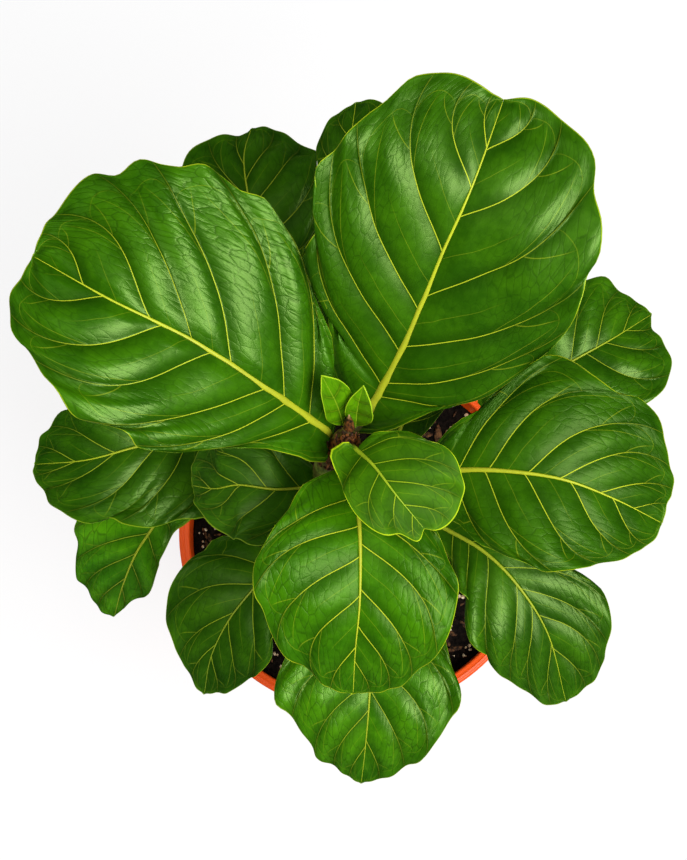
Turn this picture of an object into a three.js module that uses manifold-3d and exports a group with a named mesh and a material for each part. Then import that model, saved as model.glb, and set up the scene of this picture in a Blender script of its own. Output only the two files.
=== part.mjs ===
// A fiddle leaf fig in an orange nursery pot. Millimetres, +Z up, origin at the middle of the pot's base.
import * as THREE from 'three';
import { mergeVertices } from 'three/addons/utils/BufferGeometryUtils.js';
import Module from 'manifold-3d';

const wasm = await Module();
wasm.setup();

// Driving dimensions.
const GAP = 0.3; // clearance kept between pieces that touch
const SLIVER = 0.02; // edges shorter than this are closed up where solids were joined
const ROUND = 48; // sides of the pot and the soil
const FINE = 400; // steps in which a curve's length is measured

const POT_HEIGHT = 190;
const RIM_RADIUS = 105; // outer edge of the rim, a 21 cm pot
const RIM_INNER = 98.6;
const COLLAR_HEIGHT = 24; // the stiffened band below the rim
const COLLAR_FOOT = POT_HEIGHT - COLLAR_HEIGHT;
const COLLAR_RADIUS = 102.6;
const WALL = 2.2;
const WALL_TOP = 96.4; // outer radius of the wall just under the collar
const WALL_FOOT = 73; // outer radius at the ground
const FOOT_ROUND = 2; // bevel round the foot
const SHOULDER = 3; // how far below the collar the wall starts to widen outside
const SHOULDER_INSIDE = 6; // and inside
const COLLAR_BEVEL = [1, 2]; // at the collar's foot, in and up
const RIM_FOOT = 6; // the rim's lip starts this far below its top
const RIM_LIP = [1, 2]; // it stands out by this much over this height
const RIM_BEVEL = 1.5;
const COLLAR_TAPER = 1; // how much narrower the collar is inside at its foot
const FLOOR = 3;
const DRAIN_RADIUS = 5;
const DRAIN_CIRCLE = 52;
const DRAIN_COUNT = 8;
const DRAIN_SIDES = 12;

const SOIL_LEVEL = 171; // mean height of the soil's surface
const SOIL_LUMP = 2.2; // how far its lumps rise and fall
const SOIL_RINGS = [84, 66, 48, 30, 14]; // radii of the rings of points on its surface
const SOIL_GAP = 0.45; // between the soil and the pot's wall
// The lumps, as two waves: height, and turns per millimetre along x and y.
const LUMPS = (x, y) => Math.sin(x * 0.11 + 1) * Math.cos(y * 0.13) + 0.6 * Math.sin(x * 0.23 - y * 0.19);

// The stem's centre line from its foot in the soil to the growing tip, and its radius at those heights.
const STEM_LINE = [
  [0, 0, 112], [0, 0, 175], [1, -1, 240], [-1, -3, 310], [-8, -6, 380], [-15, -5, 440], [-18, -2, 472],
  [-13.5, 2, 500], [-7, 9.5, 520],
];
const STEM_RADII = [8.2, 8.4, 7.8, 7.2, 6.6, 6.2, 6.2, 5.8, 4.8];
const STEM_SIDES = 10;
const STEM_STEPS = 30;
const STEM_SPARE = 1.05; // the clearance round it is this much wider, as its sides are flat
const SCAR_RISE = 0.6; // rings that fallen leaves left
const SCAR_EVERY = 3; // steps

const BLADE = 0.9; // thickness of a blade
const RIB_HALF = 2.6; // half width of the raised midrib at the blade's base
const RIB_RISE = 1; // how far the midrib stands above the blade at its base
const RIB_DROP = 2; // how far it stands below
const RIB_END = 0.2; // the share of that height which is left at the tip
const RIB_SHARE = 0.3; // the most of a half blade's width that the midrib takes up
const EDGE_CROWD = 0.8; // crowds the facets towards the edge where it is below 1
const LINE_BOW = 0.12; // how strongly the side veins bow before they sweep forward

const PETIOLE_SINK = 0.7; // how far the petiole runs below the midrib
const PETIOLE_LEAVE = [0.8, 0.6]; // its way off the stem: outwards and upwards
const PETIOLE_BEND = [0.35, 0.3]; // shares of its span over which it bends, at the stem and at the blade
const PETIOLE_UNDER = [3, 9]; // it runs this far under the blade at full thickness, and ends here
const PETIOLE_POINT = 0.45; // share of its thickness at that end
const PETIOLE_SWELL = 1.25; // and at the stem
const PETIOLE_STEP = 13; // length of its facets
const PETIOLE_SIDES = 6;
const TIP_STALK = 0.8; // thickness of the two tip leaves' midribs

// One leaf each. joint: height on the stem; stalk: radius of its petiole; rib: the midrib from the blade's
// base to its tip; left and right: the edge as [along the midrib, out from it]; fold and cup: how the two
// halves rise from the midrib and curl; wave: height of the edge's waves; waves: how many on each side;
// sweep: how far the side veins lean towards the tip; grain: rows and columns of the blade's facets.
const LARGE = [24, 3];
const MIDDLE = [19, 3];
const LOWER = [18, 2];
const SMALL = [15, 2];
const LEAVES = [
  {
    name: 'leaf_upper_left', joint: 494, stalk: 2.6, fold: 0.12, cup: -0.03, wave: 1.9, waves: 8, sweep: 1.9,
    grain: LARGE, color: 0x3d8a1c,
    rib: [[-19, 12, 512], [-45, 26, 543], [-78, 44, 566], [-113, 60, 576], [-149, 82, 566]],
    left: [[-7, 3], [-11, 10], [-6, 16], [3, 17], [20, 21], [40, 29], [57, 40], [72, 49], [87, 54], [99, 51],
      [108, 52], [119, 54], [128, 47], [135, 44], [145, 38], [150, 37], [158, 33], [167, 23], [169, 11]],
    right: [[-8, 1], [-5, 6], [2, 13], [11, 21], [18, 28.5], [30, 36.5], [44, 46], [56.5, 50.6], [62.5, 57.5],
      [70.5, 63], [81, 67], [88, 71], [96, 69], [104, 71], [115, 72], [127, 67], [137, 64], [148, 61],
      [155.5, 50.5], [165.5, 45], [170, 32], [172.5, 17.5]],
  },
  {
    name: 'leaf_upper_right', joint: 500, stalk: 2.6, fold: 0.12, cup: -0.08, wave: 1.5, waves: 8, sweep: 1.9,
    grain: LARGE, color: 0x3f8d1c,
    rib: [[6, 26, 515], [19, 47, 548], [35, 81, 583], [47, 106, 600], [61, 145, 600]],
    left: [[-9, 9], [-1, 23], [16, 31], [28, 34.5], [43, 40], [54, 50], [70, 58], [78, 55], [92, 60],
      [104, 66], [114, 62], [128, 59], [139, 54], [148, 48.5], [154.5, 45], [163, 40], [169, 29], [170.5, 19],
      [168.5, 9]],
    right: [[-10, 1], [-20, 0], [-26, 0], [-27, 4], [-20, 8], [-12, 13], [-4, 17], [10, 23], [21, 30],
      [29, 36], [37, 39], [47, 47], [64, 57], [77, 63], [92, 65], [105, 64], [112, 62], [120, 63], [129, 59],
      [139, 51], [152, 47], [157, 42.5], [164, 32], [168, 23], [171, 12]],
  },
  {
    name: 'leaf_right', joint: 466, stalk: 2.4, fold: 0.1, cup: -0.15, wave: 2, waves: 5, sweep: 1.8,
    grain: MIDDLE, color: 0x36811a,
    rib: [[32, -4, 478], [59, -5, 492], [92, -10, 498], [117, -18, 490], [142, -28, 474]],
    left: [[-3, 8], [2, 13], [10, 20], [18, 24], [25, 28], [32, 40], [40, 47], [46, 55], [54, 58], [61, 56],
      [68, 51], [78, 47], [88, 49], [99, 45], [106, 34], [115, 26], [122, 18], [122, 8]],
    right: [[-1, 11], [7, 21], [19, 27], [28, 35], [35, 37], [44, 40], [53, 42], [69, 44], [79, 41], [87, 37],
      [105, 27], [114, 19], [123, 9]],
  },
  {
    name: 'leaf_lower_right', joint: 350, stalk: 2.2, fold: 0.1, cup: -0.15, wave: 2, waves: 5, sweep: 1.7,
    grain: LOWER, color: 0x2c7416,
    rib: [[36, -15, 368], [62, -32, 381], [78, -48, 381], [94, -71, 370], [106, -106, 342]],
    left: [[-2, 5], [9, 9], [35, 15], [52, 23], [71, 28], [83, 35], [96, 32], [109, 26], [115, 24], [123, 17],
      [131, 7]],
    right: [[-3, 3], [9, 6], [21, 13], [28, 19], [39, 24], [46, 24], [54, 32], [65, 37], [73, 36], [82, 33],
      [93, 33], [109, 26], [122, 17], [131, 9]],
  },
  {
    name: 'leaf_front', joint: 482, stalk: 2.4, fold: 0.1, cup: -0.15, wave: 2, waves: 5, sweep: 1.6,
    grain: MIDDLE, color: 0x4a9a1c,
    rib: [[-5, -6, 498], [-2, -36, 512], [-2, -68, 508], [-4, -90, 494], [-5, -109, 474]],
    left: [[-1, 6], [10, 21], [27, 31], [38, 37], [48, 41], [56, 45], [63, 45], [74, 43], [86, 39], [99, 32],
      [108, 25], [114, 17], [118, 8]],
    right: [[-2, 6], [1, 14], [8, 25], [15, 30], [31, 40], [40, 45], [49, 49], [62, 49], [73, 45], [86, 40],
      [94, 34], [101, 26], [109, 18], [117, 8]],
  },
  {
    name: 'leaf_young', joint: 512, stalk: 1.6, fold: 0.14, cup: 0.2, wave: 1.6, waves: 4, sweep: 1.4,
    grain: SMALL, color: 0x6bb526,
    rib: [[-3, -1, 528], [4, -9, 538], [14, -23, 544], [27, -38, 538]],
    left: [[-2, 3], [0, 9], [8, 15], [16, 23], [24, 26], [29, 30], [36, 31], [45, 28], [54, 22], [59, 11],
      [58, 4]],
    right: [[-6, 1], [-4, 6], [0, 11], [4, 13.5], [9, 15.5], [22, 19], [31, 20], [41, 17], [48, 10], [56, 6]],
  },
  {
    name: 'leaf_bottom', joint: 292, stalk: 2.2, fold: 0.1, cup: -0.15, wave: 2, waves: 5, sweep: 1.6,
    grain: LOWER, color: 0x2f7a17,
    rib: [[4, -49, 318], [5, -78, 329], [4, -105, 326], [2, -129, 312], [0, -147, 292]],
    left: [[-2, 9], [10, 27], [22, 37], [31, 40], [38, 42], [48, 47], [53, 48], [59, 47], [64, 44], [77, 37],
      [90, 29], [104, 14], [110, 5]],
    right: [[-4, 9], [8, 26], [24, 40], [37, 45], [45, 48], [54, 50], [62, 49], [67, 43], [79, 35], [87, 28],
      [95, 25], [102, 17], [110, 5]],
  },
  {
    name: 'leaf_lower_left', joint: 330, stalk: 2.2, fold: 0.1, cup: -0.15, wave: 2, waves: 4, sweep: 1.6,
    grain: LOWER, color: 0x286c14,
    rib: [[-40, -29, 352], [-56, -49, 361], [-68, -64, 358], [-78, -82, 344], [-83, -101, 320]],
    left: [[1, 11], [14, 21], [28, 25], [43, 24], [54, 29], [69, 26], [80, 23], [88, 19], [95, 12], [100, 5]],
    right: [[-1, 7], [8, 13], [12, 22], [19, 32], [27, 32], [37, 35], [52, 34], [64, 29], [70, 22], [85, 12],
      [98, 4]],
  },
  {
    name: 'leaf_left', joint: 438, stalk: 2.2, fold: 0.1, cup: -0.15, wave: 1.6, waves: 4, sweep: 1.6,
    grain: SMALL, color: 0x2f7a17,
    rib: [[-22, -8, 456], [-42, -11, 467], [-60, -9, 468], [-71, -10, 462], [-83, -7, 450]],
    left: [[1, 9], [11, 18], [21, 25], [30, 28], [37, 26], [46, 26], [52, 21], [57, 14], [64, 8], [69, 3]],
    right: [[0, 8], [14, 20], [34, 25], [44, 24], [56, 24], [64, 23], [71, 18], [73, 9]],
  },
  {
    name: 'leaf_far_left', joint: 372, stalk: 2.2, fold: 0.1, cup: -0.15, wave: 2, waves: 5, sweep: 1.6,
    grain: LOWER, color: 0x2a7015,
    rib: [[-74, 28, 402], [-94, 21, 412], [-112, 17, 416], [-137, 11, 412], [-166, 11, 394]],
    left: [[-1, 11], [0, 25], [9, 36], [21, 42], [30, 40], [39, 41], [48, 41], [58, 36], [63, 31], [71, 32],
      [82, 25], [91, 20], [97, 13], [102, 6]],
    right: [[-1, 8], [14, 19], [37, 24], [55, 28], [79, 27], [87, 26], [92, 18], [99, 13], [102, 6]],
  },
  {
    name: 'leaf_hanging', joint: 262, stalk: 2, fold: 0.1, cup: -0.1, wave: 1.6, waves: 4, sweep: 1.6,
    grain: SMALL, color: 0x2c7416,
    rib: [[-101, 6, 322], [-109, -11, 327], [-119, -25, 319], [-128, -40, 296], [-136, -55, 258]],
    left: [[-3, 9], [3, 16], [12, 15], [19, 11], [30, 13], [44, 14], [55, 16], [70, 13], [81, 7], [94, 4]],
    right: [[-3, 9], [8, 24], [25, 35], [41, 36], [48, 35], [55, 31], [67, 29], [77, 26.5], [91, 22],
      [102, 12], [110, 6]],
  },
  {
    name: 'leaf_back_left', joint: 394, stalk: 2.2, fold: 0.1, cup: -0.15, wave: 2, waves: 4, sweep: 1.6,
    grain: LOWER, color: 0x286c14,
    rib: [[-48, 95, 432], [-52, 117, 447], [-57, 140, 449], [-59, 160, 441], [-56, 177, 428]],
    left: [[0, 9], [13, 24], [30, 33], [49, 35], [66, 31], [73, 28], [79, 18], [86, 5]],
    right: [[0, 7], [14, 20], [19, 25], [31, 32], [43, 35], [60, 36], [75, 36], [88, 33], [92, 20], [96, 8]],
  },
  {
    name: 'leaf_back', joint: 306, stalk: 2.2, fold: 0.1, cup: -0.15, wave: 2, waves: 5, sweep: 1.7,
    grain: LOWER, color: 0x256512,
    rib: [[-6, 89, 346], [-6, 118, 362], [-6, 149, 368], [-6, 182, 364], [-3, 212, 350]],
    left: [[-8, 8], [-5, 19], [12, 28], [33, 31], [57, 28], [75, 18], [89, 17], [98, 18], [109, 15],
      [124, 7]],
    right: [[-2, 11], [12, 24], [33, 29], [59, 27], [86, 26], [113, 22], [130, 16], [133, 7]],
  },
  {
    name: 'leaf_back_right', joint: 320, stalk: 2.2, fold: 0.1, cup: -0.15, wave: 2, waves: 4, sweep: 1.6,
    grain: LOWER, color: 0x256512,
    rib: [[72, 50, 348], [90, 59, 359], [109, 69, 365], [130, 81, 363], [153, 97, 350]],
    left: [[-9, 1], [-10, 5], [-5, 12], [12, 25], [38, 35], [57, 38], [75, 34.5], [87, 30], [90, 22],
      [97, 12]],
    right: [[6, 16], [24, 29], [42, 36], [58, 38], [72, 38], [83, 34], [91, 27], [94, 17], [95, 7]],
  },
  {
    name: 'leaf_low_inner', joint: 384, stalk: 1.8, fold: 0.1, cup: -0.15, wave: 1.4, waves: 4, sweep: 1.6,
    grain: SMALL, color: 0x225f12,
    rib: [[17, 21, 414], [24, 39, 427], [31, 65, 437], [36, 88, 434]],
    left: [[1, 6], [17, 18], [44, 23], [66, 19], [74, 7]],
    right: [[0, 7], [7, 11], [24, 17], [41, 24], [60, 23], [74, 12]],
  },
];

// The two half-folded leaves at the growing tip stand straight on the stem, with no petiole.
const TIP_LEAVES = [
  {
    name: 'tip_leaf_left', fold: 0.35, cup: 0, wave: 0.3, waves: 2, sweep: 1.4, grain: [12, 2], color: 0x8cc63a,
    rib: [[-9.5, 13, 516], [-13, 20.5, 534], [-19.5, 30, 553]],
    left: [[6, 4], [14, 7], [27, 6], [36, 3]],
    right: [[9, 2], [15, 5], [24, 8], [34, 6]],
  },
  {
    name: 'tip_leaf_right', fold: 0.35, cup: 0, wave: 0.3, waves: 2, sweep: 1.4, grain: [12, 2], color: 0x7cba32,
    rib: [[-4, 12, 516], [-3, 18.5, 533], [-0.5, 26, 549]],
    left: [[9, 2], [15, 4], [26, 3.5]],
    right: [[6, 4], [13, 8], [24, 8], [31, 5]],
  },
];

// Pointed scales: the terminal bud and the two sheaths below it. foot, top: its ends; radius: at the widest.
const SCALES = [
  { name: 'terminal_bud', foot: [-7, 10.5, 517], top: [-7, 14.5, 536], radius: 2.2 },
  { name: 'bud_scale_left', foot: [-13, 1.5, 509], top: [-12.8, 7.2, 526], radius: 1.9 },
  { name: 'bud_scale_right', foot: [-3.5, 3.5, 508], top: [-2.4, 6.2, 524], radius: 2.1 },
];

const SCALE_SWELL = [0.75, 1, 0.85, 0.5, 0.1]; // their thickness from the foot to the point
const SCALE_SIDES = 8;

const vec = (p) => new THREE.Vector3(...p);
const UP = new THREE.Vector3(0, 0, 1);

// A closed geometry as a solid.
function solid(geometry) {
  const bare = geometry.clone();
  bare.deleteAttribute('normal');
  bare.deleteAttribute('uv');
  const merged = mergeVertices(bare, 1e-3);
  return new wasm.Manifold(new wasm.Mesh({
    numProp: 3,
    vertProperties: new Float32Array(merged.attributes.position.array),
    triVerts: new Uint32Array(merged.index.array),
  }));
}

// A solid as a named mesh, without the slivers that joining and cutting leave.
function piece(name, body, color, roughness) {
  const mesh = body.simplify(SLIVER).getMesh();
  const geometry = new THREE.BufferGeometry();
  geometry.setAttribute('position', new THREE.BufferAttribute(mesh.vertProperties, 3));
  geometry.setIndex(new THREE.BufferAttribute(mesh.triVerts, 1));
  geometry.computeVertexNormals();
  const material = new THREE.MeshStandardMaterial({ color, roughness, metalness: 0 });
  const result = new THREE.Mesh(geometry, material);
  result.name = name;
  return result;
}

function geometryOf(points, faces) {
  const geometry = new THREE.BufferGeometry();
  geometry.setFromPoints(points);
  geometry.setIndex(faces.flat());
  return geometry;
}

// A closed tube whose radius changes along it, through a list of centres.
function taperedTube(centres, radii, sides) {
  const points = [];
  const faces = [];
  const side = new THREE.Vector3();
  let across = new THREE.Vector3(1, 0, 0);
  centres.forEach((centre, i) => {
    const before = centres[Math.max(i - 1, 0)];
    const after = centres[Math.min(i + 1, centres.length - 1)];
    const along = after.clone().sub(before).normalize();
    across = across.clone().addScaledVector(along, -across.dot(along)).normalize();
    side.crossVectors(along, across);
    for (let k = 0; k < sides; k += 1) {
      const turn = (2 * Math.PI * k) / sides;
      points.push(centre.clone()
        .addScaledVector(across, radii[i] * Math.cos(turn))
        .addScaledVector(side, radii[i] * Math.sin(turn)));
    }
  });
  const last = centres.length - 1;
  const foot = points.length;
  points.push(centres[0].clone(), centres[last].clone());
  for (let k = 0; k < sides; k += 1) {
    const next = (k + 1) % sides;
    for (let i = 0; i < last; i += 1) {
      const a = i * sides + k;
      const b = i * sides + next;
      faces.push([a, b, b + sides], [a, b + sides, a + sides]);
    }
    faces.push([foot, next, k]);
    faces.push([foot + 1, last * sides + k, last * sides + next]);
  }
  return geometryOf(points, faces);
}

// The stem, or the space it takes up with some clearance round it.
function stemSolid(clearance) {
  const line = new THREE.CatmullRomCurve3(STEM_LINE.map(vec));
  const radius = new THREE.SplineCurve(STEM_RADII.map((r, i) => new THREE.Vector2(i, r)));
  const centres = [];
  const radii = [];
  for (let i = 0; i <= STEM_STEPS; i += 1) {
    const at = i / STEM_STEPS;
    centres.push(line.getPoint(at));
    const scar = i % SCAR_EVERY === 0 && i < STEM_STEPS ? SCAR_RISE : 0;
    radii.push(radius.getPoint(at).y + scar + clearance * STEM_SPARE);
  }
  centres[0].z -= clearance;
  centres[STEM_STEPS].addScaledVector(UP, clearance);
  return solid(taperedTube(centres, radii, STEM_SIDES));
}

// The blade's surface: a point at a distance along the midrib and out from it, out counting left as plus.
function bladeSurface(leaf) {
  const rib = new THREE.CatmullRomCurve3(leaf.rib.map(vec));
  rib.arcLengthDivisions = FINE;
  const length = rib.getLength();
  const point = (along, out, lift) => {
    const at = Math.min(Math.max(along / length, 0), 1);
    const heading = rib.getTangentAt(at);
    const side = new THREE.Vector3().crossVectors(UP, heading).normalize();
    const above = new THREE.Vector3().crossVectors(heading, side);
    const rise = leaf.fold * Math.abs(out) + (leaf.cup * out * out) / 100 + lift;
    return rib.getPointAt(at)
      .addScaledVector(heading, along - at * length)
      .addScaledVector(side, out)
      .addScaledVector(above, rise);
  };
  return { length, point };
}

// The blade as one closed solid: facets in rows from the midrib to the edge, alike above and below.
function bladeSolid(leaf) {
  const { length, point } = bladeSurface(leaf);
  const [rows, columns] = leaf.grain;
  const points = [];
  const tops = []; // upper faces, as indices of the middle surface
  const rims = [];
  const spine = [];
  for (let j = 0; j <= rows; j += 1) {
    spine.push(points.length);
    points.push(point(length * (j / rows) ** leaf.sweep, 0, 0));
  }
  [leaf.left, leaf.right].forEach((edge, index) => {
    const hand = index === 0 ? 1 : -1;
    const outline = new THREE.CatmullRomCurve3([[0, 0], ...edge, [length, 0]].map(([s, t]) => vec([s, t, 0])));
    outline.arcLengthDivisions = FINE;
    const stops = outline.getSpacedPoints(rows);
    const grid = [];
    for (let j = 0; j <= rows; j += 1) {
      const at = j / rows;
      const start = new THREE.Vector3(length * at ** leaf.sweep, 0, 0);
      const reach = stops[j].clone().sub(start);
      const span = reach.length();
      const row = [spine[j]];
      for (let i = 0; i <= columns; i += 1) {
        if (j === 0 || j === rows) {
          row.push(spine[j]);
          continue;
        }
        const near = Math.min(RIB_HALF / span, RIB_SHARE);
        const out = near + (1 - near) * (i / columns) ** EDGE_CROWD;
        const bow = LINE_BOW * Math.sin(Math.PI * at) * 4 * out * (1 - out);
        const spot = start.clone().addScaledVector(reach, out).add(new THREE.Vector3(-reach.y, reach.x, 0)
          .multiplyScalar(bow));
        const calm = Math.sin(Math.PI * at) ** 0.4;
        const ripple = Math.sin(2 * Math.PI * leaf.waves * at + hand * 0.9 + leaf.joint);
        row.push(points.length);
        points.push(point(spot.x, hand * spot.y, leaf.wave * calm * out ** 3 * ripple));
      }
      grid.push(row);
    }
    const turned = (face) => (hand === 1 ? face : [...face].reverse());
    for (let j = 0; j < rows; j += 1) {
      for (let i = 0; i <= columns; i += 1) {
        const [a, b, c, d] = [grid[j][i], grid[j + 1][i], grid[j + 1][i + 1], grid[j][i + 1]];
        [[a, b, c], [a, c, d]].filter((f) => new Set(f).size === 3).forEach((f) => tops.push(turned(f)));
      }
      rims.push(turned([grid[j][columns + 1], grid[j + 1][columns + 1]]));
    }
  });

  // Each point of the middle surface is moved up and down along the surface's own normal.
  const middle = geometryOf(points, tops);
  middle.computeVertexNormals();
  const normals = points.map((_, i) => new THREE.Vector3().fromBufferAttribute(middle.attributes.normal, i));
  const ribAt = (i) => {
    const j = spine.indexOf(i);
    return j < 0 ? 0 : 1 - (1 - RIB_END) * (j / rows) ** leaf.sweep;
  };
  const scale = leaf.stalk / LEAVES[0].stalk;
  const above = points.map((p, i) => p.clone().addScaledVector(normals[i], BLADE / 2 + RIB_RISE * scale * ribAt(i)));
  const below = points.map((p, i) => p.clone().addScaledVector(normals[i], -BLADE / 2 - RIB_DROP * scale * ribAt(i)));
  const under = points.length;
  const faces = [...tops, ...tops.map(([a, b, c]) => [a + under, c + under, b + under])];
  rims.forEach(([a, b]) => faces.push([a, b, b + under], [a, b + under, a + under]));
  return solid(geometryOf([...above, ...below], faces));
}

// The petiole: leaves the stem upwards and outwards and runs on under the midrib's first stretch.
function petioleSolid(leaf) {
  const line = new THREE.CatmullRomCurve3(STEM_LINE.map(vec));
  const root = line.getPoints(FINE).reduce((best, p) => (
    Math.abs(p.z - leaf.joint) < Math.abs(best.z - leaf.joint) ? p : best));
  const base = vec(leaf.rib[0]);
  const heading = new THREE.CatmullRomCurve3(leaf.rib.map(vec)).getTangentAt(0);
  const outward = base.clone().sub(root).setZ(0).normalize();
  const span = base.distanceTo(root);
  const leave = outward.clone().multiplyScalar(PETIOLE_LEAVE[0]).addScaledVector(UP, PETIOLE_LEAVE[1]);
  const curve = new THREE.CubicBezierCurve3(
    root,
    root.clone().addScaledVector(leave, span * PETIOLE_BEND[0]),
    base.clone().addScaledVector(heading, -span * PETIOLE_BEND[1]),
    base.clone().addScaledVector(heading, PETIOLE_UNDER[0]),
  );
  const steps = Math.max(4, Math.round(span / PETIOLE_STEP));
  const centres = curve.getSpacedPoints(steps);
  centres.push(base.clone().addScaledVector(heading, PETIOLE_UNDER[1]));
  centres.forEach((c) => c.addScaledVector(UP, -PETIOLE_SINK));
  const radii = centres.map((_, i) => leaf.stalk * (i < 2 ? PETIOLE_SWELL : 1));
  radii[steps + 1] = leaf.stalk * PETIOLE_POINT;
  return solid(taperedTube(centres, radii, PETIOLE_SIDES));
}

function leafSolid(leaf, stemSpace) {
  return bladeSolid(leaf).add(petioleSolid(leaf)).subtract(stemSpace);
}

function scaleSolid({ foot, top, radius }) {
  const line = new THREE.LineCurve3(vec(foot), vec(top));
  const centres = line.getPoints(SCALE_SWELL.length - 1);
  return solid(taperedTube(centres, SCALE_SWELL.map((part) => part * radius), SCALE_SIDES));
}

// The pot: a tapered wall with a stiffened collar, a rolled rim and a floor with drain holes.
function potSolid() {
  const profile = [
    [0, 0], [WALL_FOOT - FOOT_ROUND, 0], [WALL_FOOT, FOOT_ROUND], [WALL_TOP, COLLAR_FOOT - SHOULDER],
    [COLLAR_RADIUS - COLLAR_BEVEL[0], COLLAR_FOOT], [COLLAR_RADIUS, COLLAR_FOOT + COLLAR_BEVEL[1]],
    [RIM_RADIUS - RIM_LIP[0], POT_HEIGHT - RIM_FOOT], [RIM_RADIUS, POT_HEIGHT - RIM_FOOT + RIM_LIP[1]],
    [RIM_RADIUS, POT_HEIGHT - RIM_BEVEL], [RIM_RADIUS - RIM_BEVEL, POT_HEIGHT],
    [RIM_INNER + RIM_BEVEL, POT_HEIGHT], [RIM_INNER, POT_HEIGHT - RIM_BEVEL],
    [RIM_INNER - COLLAR_TAPER, COLLAR_FOOT], [WALL_TOP - WALL, COLLAR_FOOT - SHOULDER_INSIDE],
    [WALL_FOOT - WALL, FLOOR], [0, FLOOR],
  ].map(([r, z]) => new THREE.Vector2(r, z));
  let pot = solid(new THREE.LatheGeometry(profile, ROUND).rotateX(Math.PI / 2));
  for (let k = 0; k < DRAIN_COUNT; k += 1) {
    const turn = (2 * Math.PI * k) / DRAIN_COUNT;
    const drain = new THREE.CylinderGeometry(DRAIN_RADIUS, DRAIN_RADIUS, 3 * FLOOR, DRAIN_SIDES).rotateX(Math.PI / 2)
      .translate(DRAIN_CIRCLE * Math.cos(turn), DRAIN_CIRCLE * Math.sin(turn), FLOOR / 2);
    pot = pot.subtract(solid(drain));
  }
  return pot;
}

// The soil fills the pot to a lumpy surface.
function soilSolid(stemSpace) {
  const { mapLinear } = THREE.MathUtils;
  const shoulder = COLLAR_FOOT - SHOULDER_INSIDE;
  const profile = [
    [0, FLOOR + GAP], [WALL_FOOT - WALL - SOIL_GAP, FLOOR + GAP], [WALL_TOP - WALL - SOIL_GAP, shoulder],
    [RIM_INNER - COLLAR_TAPER - SOIL_GAP, COLLAR_FOOT],
    [mapLinear(SOIL_LEVEL, COLLAR_FOOT, POT_HEIGHT, RIM_INNER - COLLAR_TAPER, RIM_INNER) - SOIL_GAP, SOIL_LEVEL],
    ...[...SOIL_RINGS, 0].map((r) => [r, SOIL_LEVEL]),
  ].map(([r, z]) => new THREE.Vector2(r, z));
  const geometry = new THREE.LatheGeometry(profile, ROUND).rotateX(Math.PI / 2);
  const place = geometry.attributes.position;
  for (let i = 0; i < place.count; i += 1) {
    const x = place.getX(i);
    const y = place.getY(i);
    if (place.getZ(i) === SOIL_LEVEL && Math.hypot(x, y) < SOIL_RINGS[0] + 1) {
      place.setZ(i, SOIL_LEVEL + SOIL_LUMP * LUMPS(x, y));
    }
  }
  return solid(geometry).subtract(stemSpace);
}

const stemSpace = stemSolid(GAP);
const plant = new THREE.Group();
plant.add(piece('pot', potSolid(), 0xf0551a, 0.42));
plant.add(piece('soil', soilSolid(stemSpace), 0x1f150f, 0.95));
plant.add(piece('stem', stemSolid(0), 0x6b5a2c, 0.8));
LEAVES.forEach((leaf) => plant.add(piece(leaf.name, leafSolid(leaf, stemSpace), leaf.color, 0.4)));
TIP_LEAVES.forEach((leaf) => {
  plant.add(piece(leaf.name, bladeSolid({ ...leaf, joint: 0, stalk: TIP_STALK }).subtract(stemSpace), leaf.color, 0.4));
});
SCALES.forEach((scale) => plant.add(piece(scale.name, scaleSolid(scale).subtract(stemSpace), 0x6e3a18, 0.7)));

export default plant;
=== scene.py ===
import math

import bpy
import numpy as np
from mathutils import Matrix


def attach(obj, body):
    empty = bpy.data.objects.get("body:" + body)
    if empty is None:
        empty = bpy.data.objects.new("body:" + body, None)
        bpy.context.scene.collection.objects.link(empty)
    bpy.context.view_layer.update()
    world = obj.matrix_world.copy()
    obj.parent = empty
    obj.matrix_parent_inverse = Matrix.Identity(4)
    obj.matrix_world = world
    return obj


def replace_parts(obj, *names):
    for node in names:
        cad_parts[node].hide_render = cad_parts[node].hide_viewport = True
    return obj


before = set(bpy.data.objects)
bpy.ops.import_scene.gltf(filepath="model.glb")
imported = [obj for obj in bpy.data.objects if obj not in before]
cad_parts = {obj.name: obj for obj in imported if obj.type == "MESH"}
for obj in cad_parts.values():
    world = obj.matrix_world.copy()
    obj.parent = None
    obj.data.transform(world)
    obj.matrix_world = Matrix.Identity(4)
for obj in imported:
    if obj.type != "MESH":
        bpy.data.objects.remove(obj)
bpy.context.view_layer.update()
MM = 0.001
UP = np.array([0.0, 0.0, 1.0])


# ---- The camera --------------------------------------------------------------------------------------
# A long lens 1.8 m above the floor, which looks down on the plant from slightly in front of it.
CAMERA_PLACE = (-9.5, -177.5, 1774)
CAMERA_ELEVATION = 81.5
CAMERA_LENS = 115
CAMERA_SENSOR = 36

camera = bpy.data.objects.new("camera", bpy.data.cameras.new("camera"))
camera.data.lens = CAMERA_LENS
camera.data.sensor_width = CAMERA_SENSOR
camera.location = [c * MM for c in CAMERA_PLACE]
camera.rotation_euler = (math.radians(90 - CAMERA_ELEVATION), 0, 0)
bpy.context.scene.collection.objects.link(camera)
bpy.context.scene.camera = camera
bpy.context.scene.view_settings.view_transform = "Standard"


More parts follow.
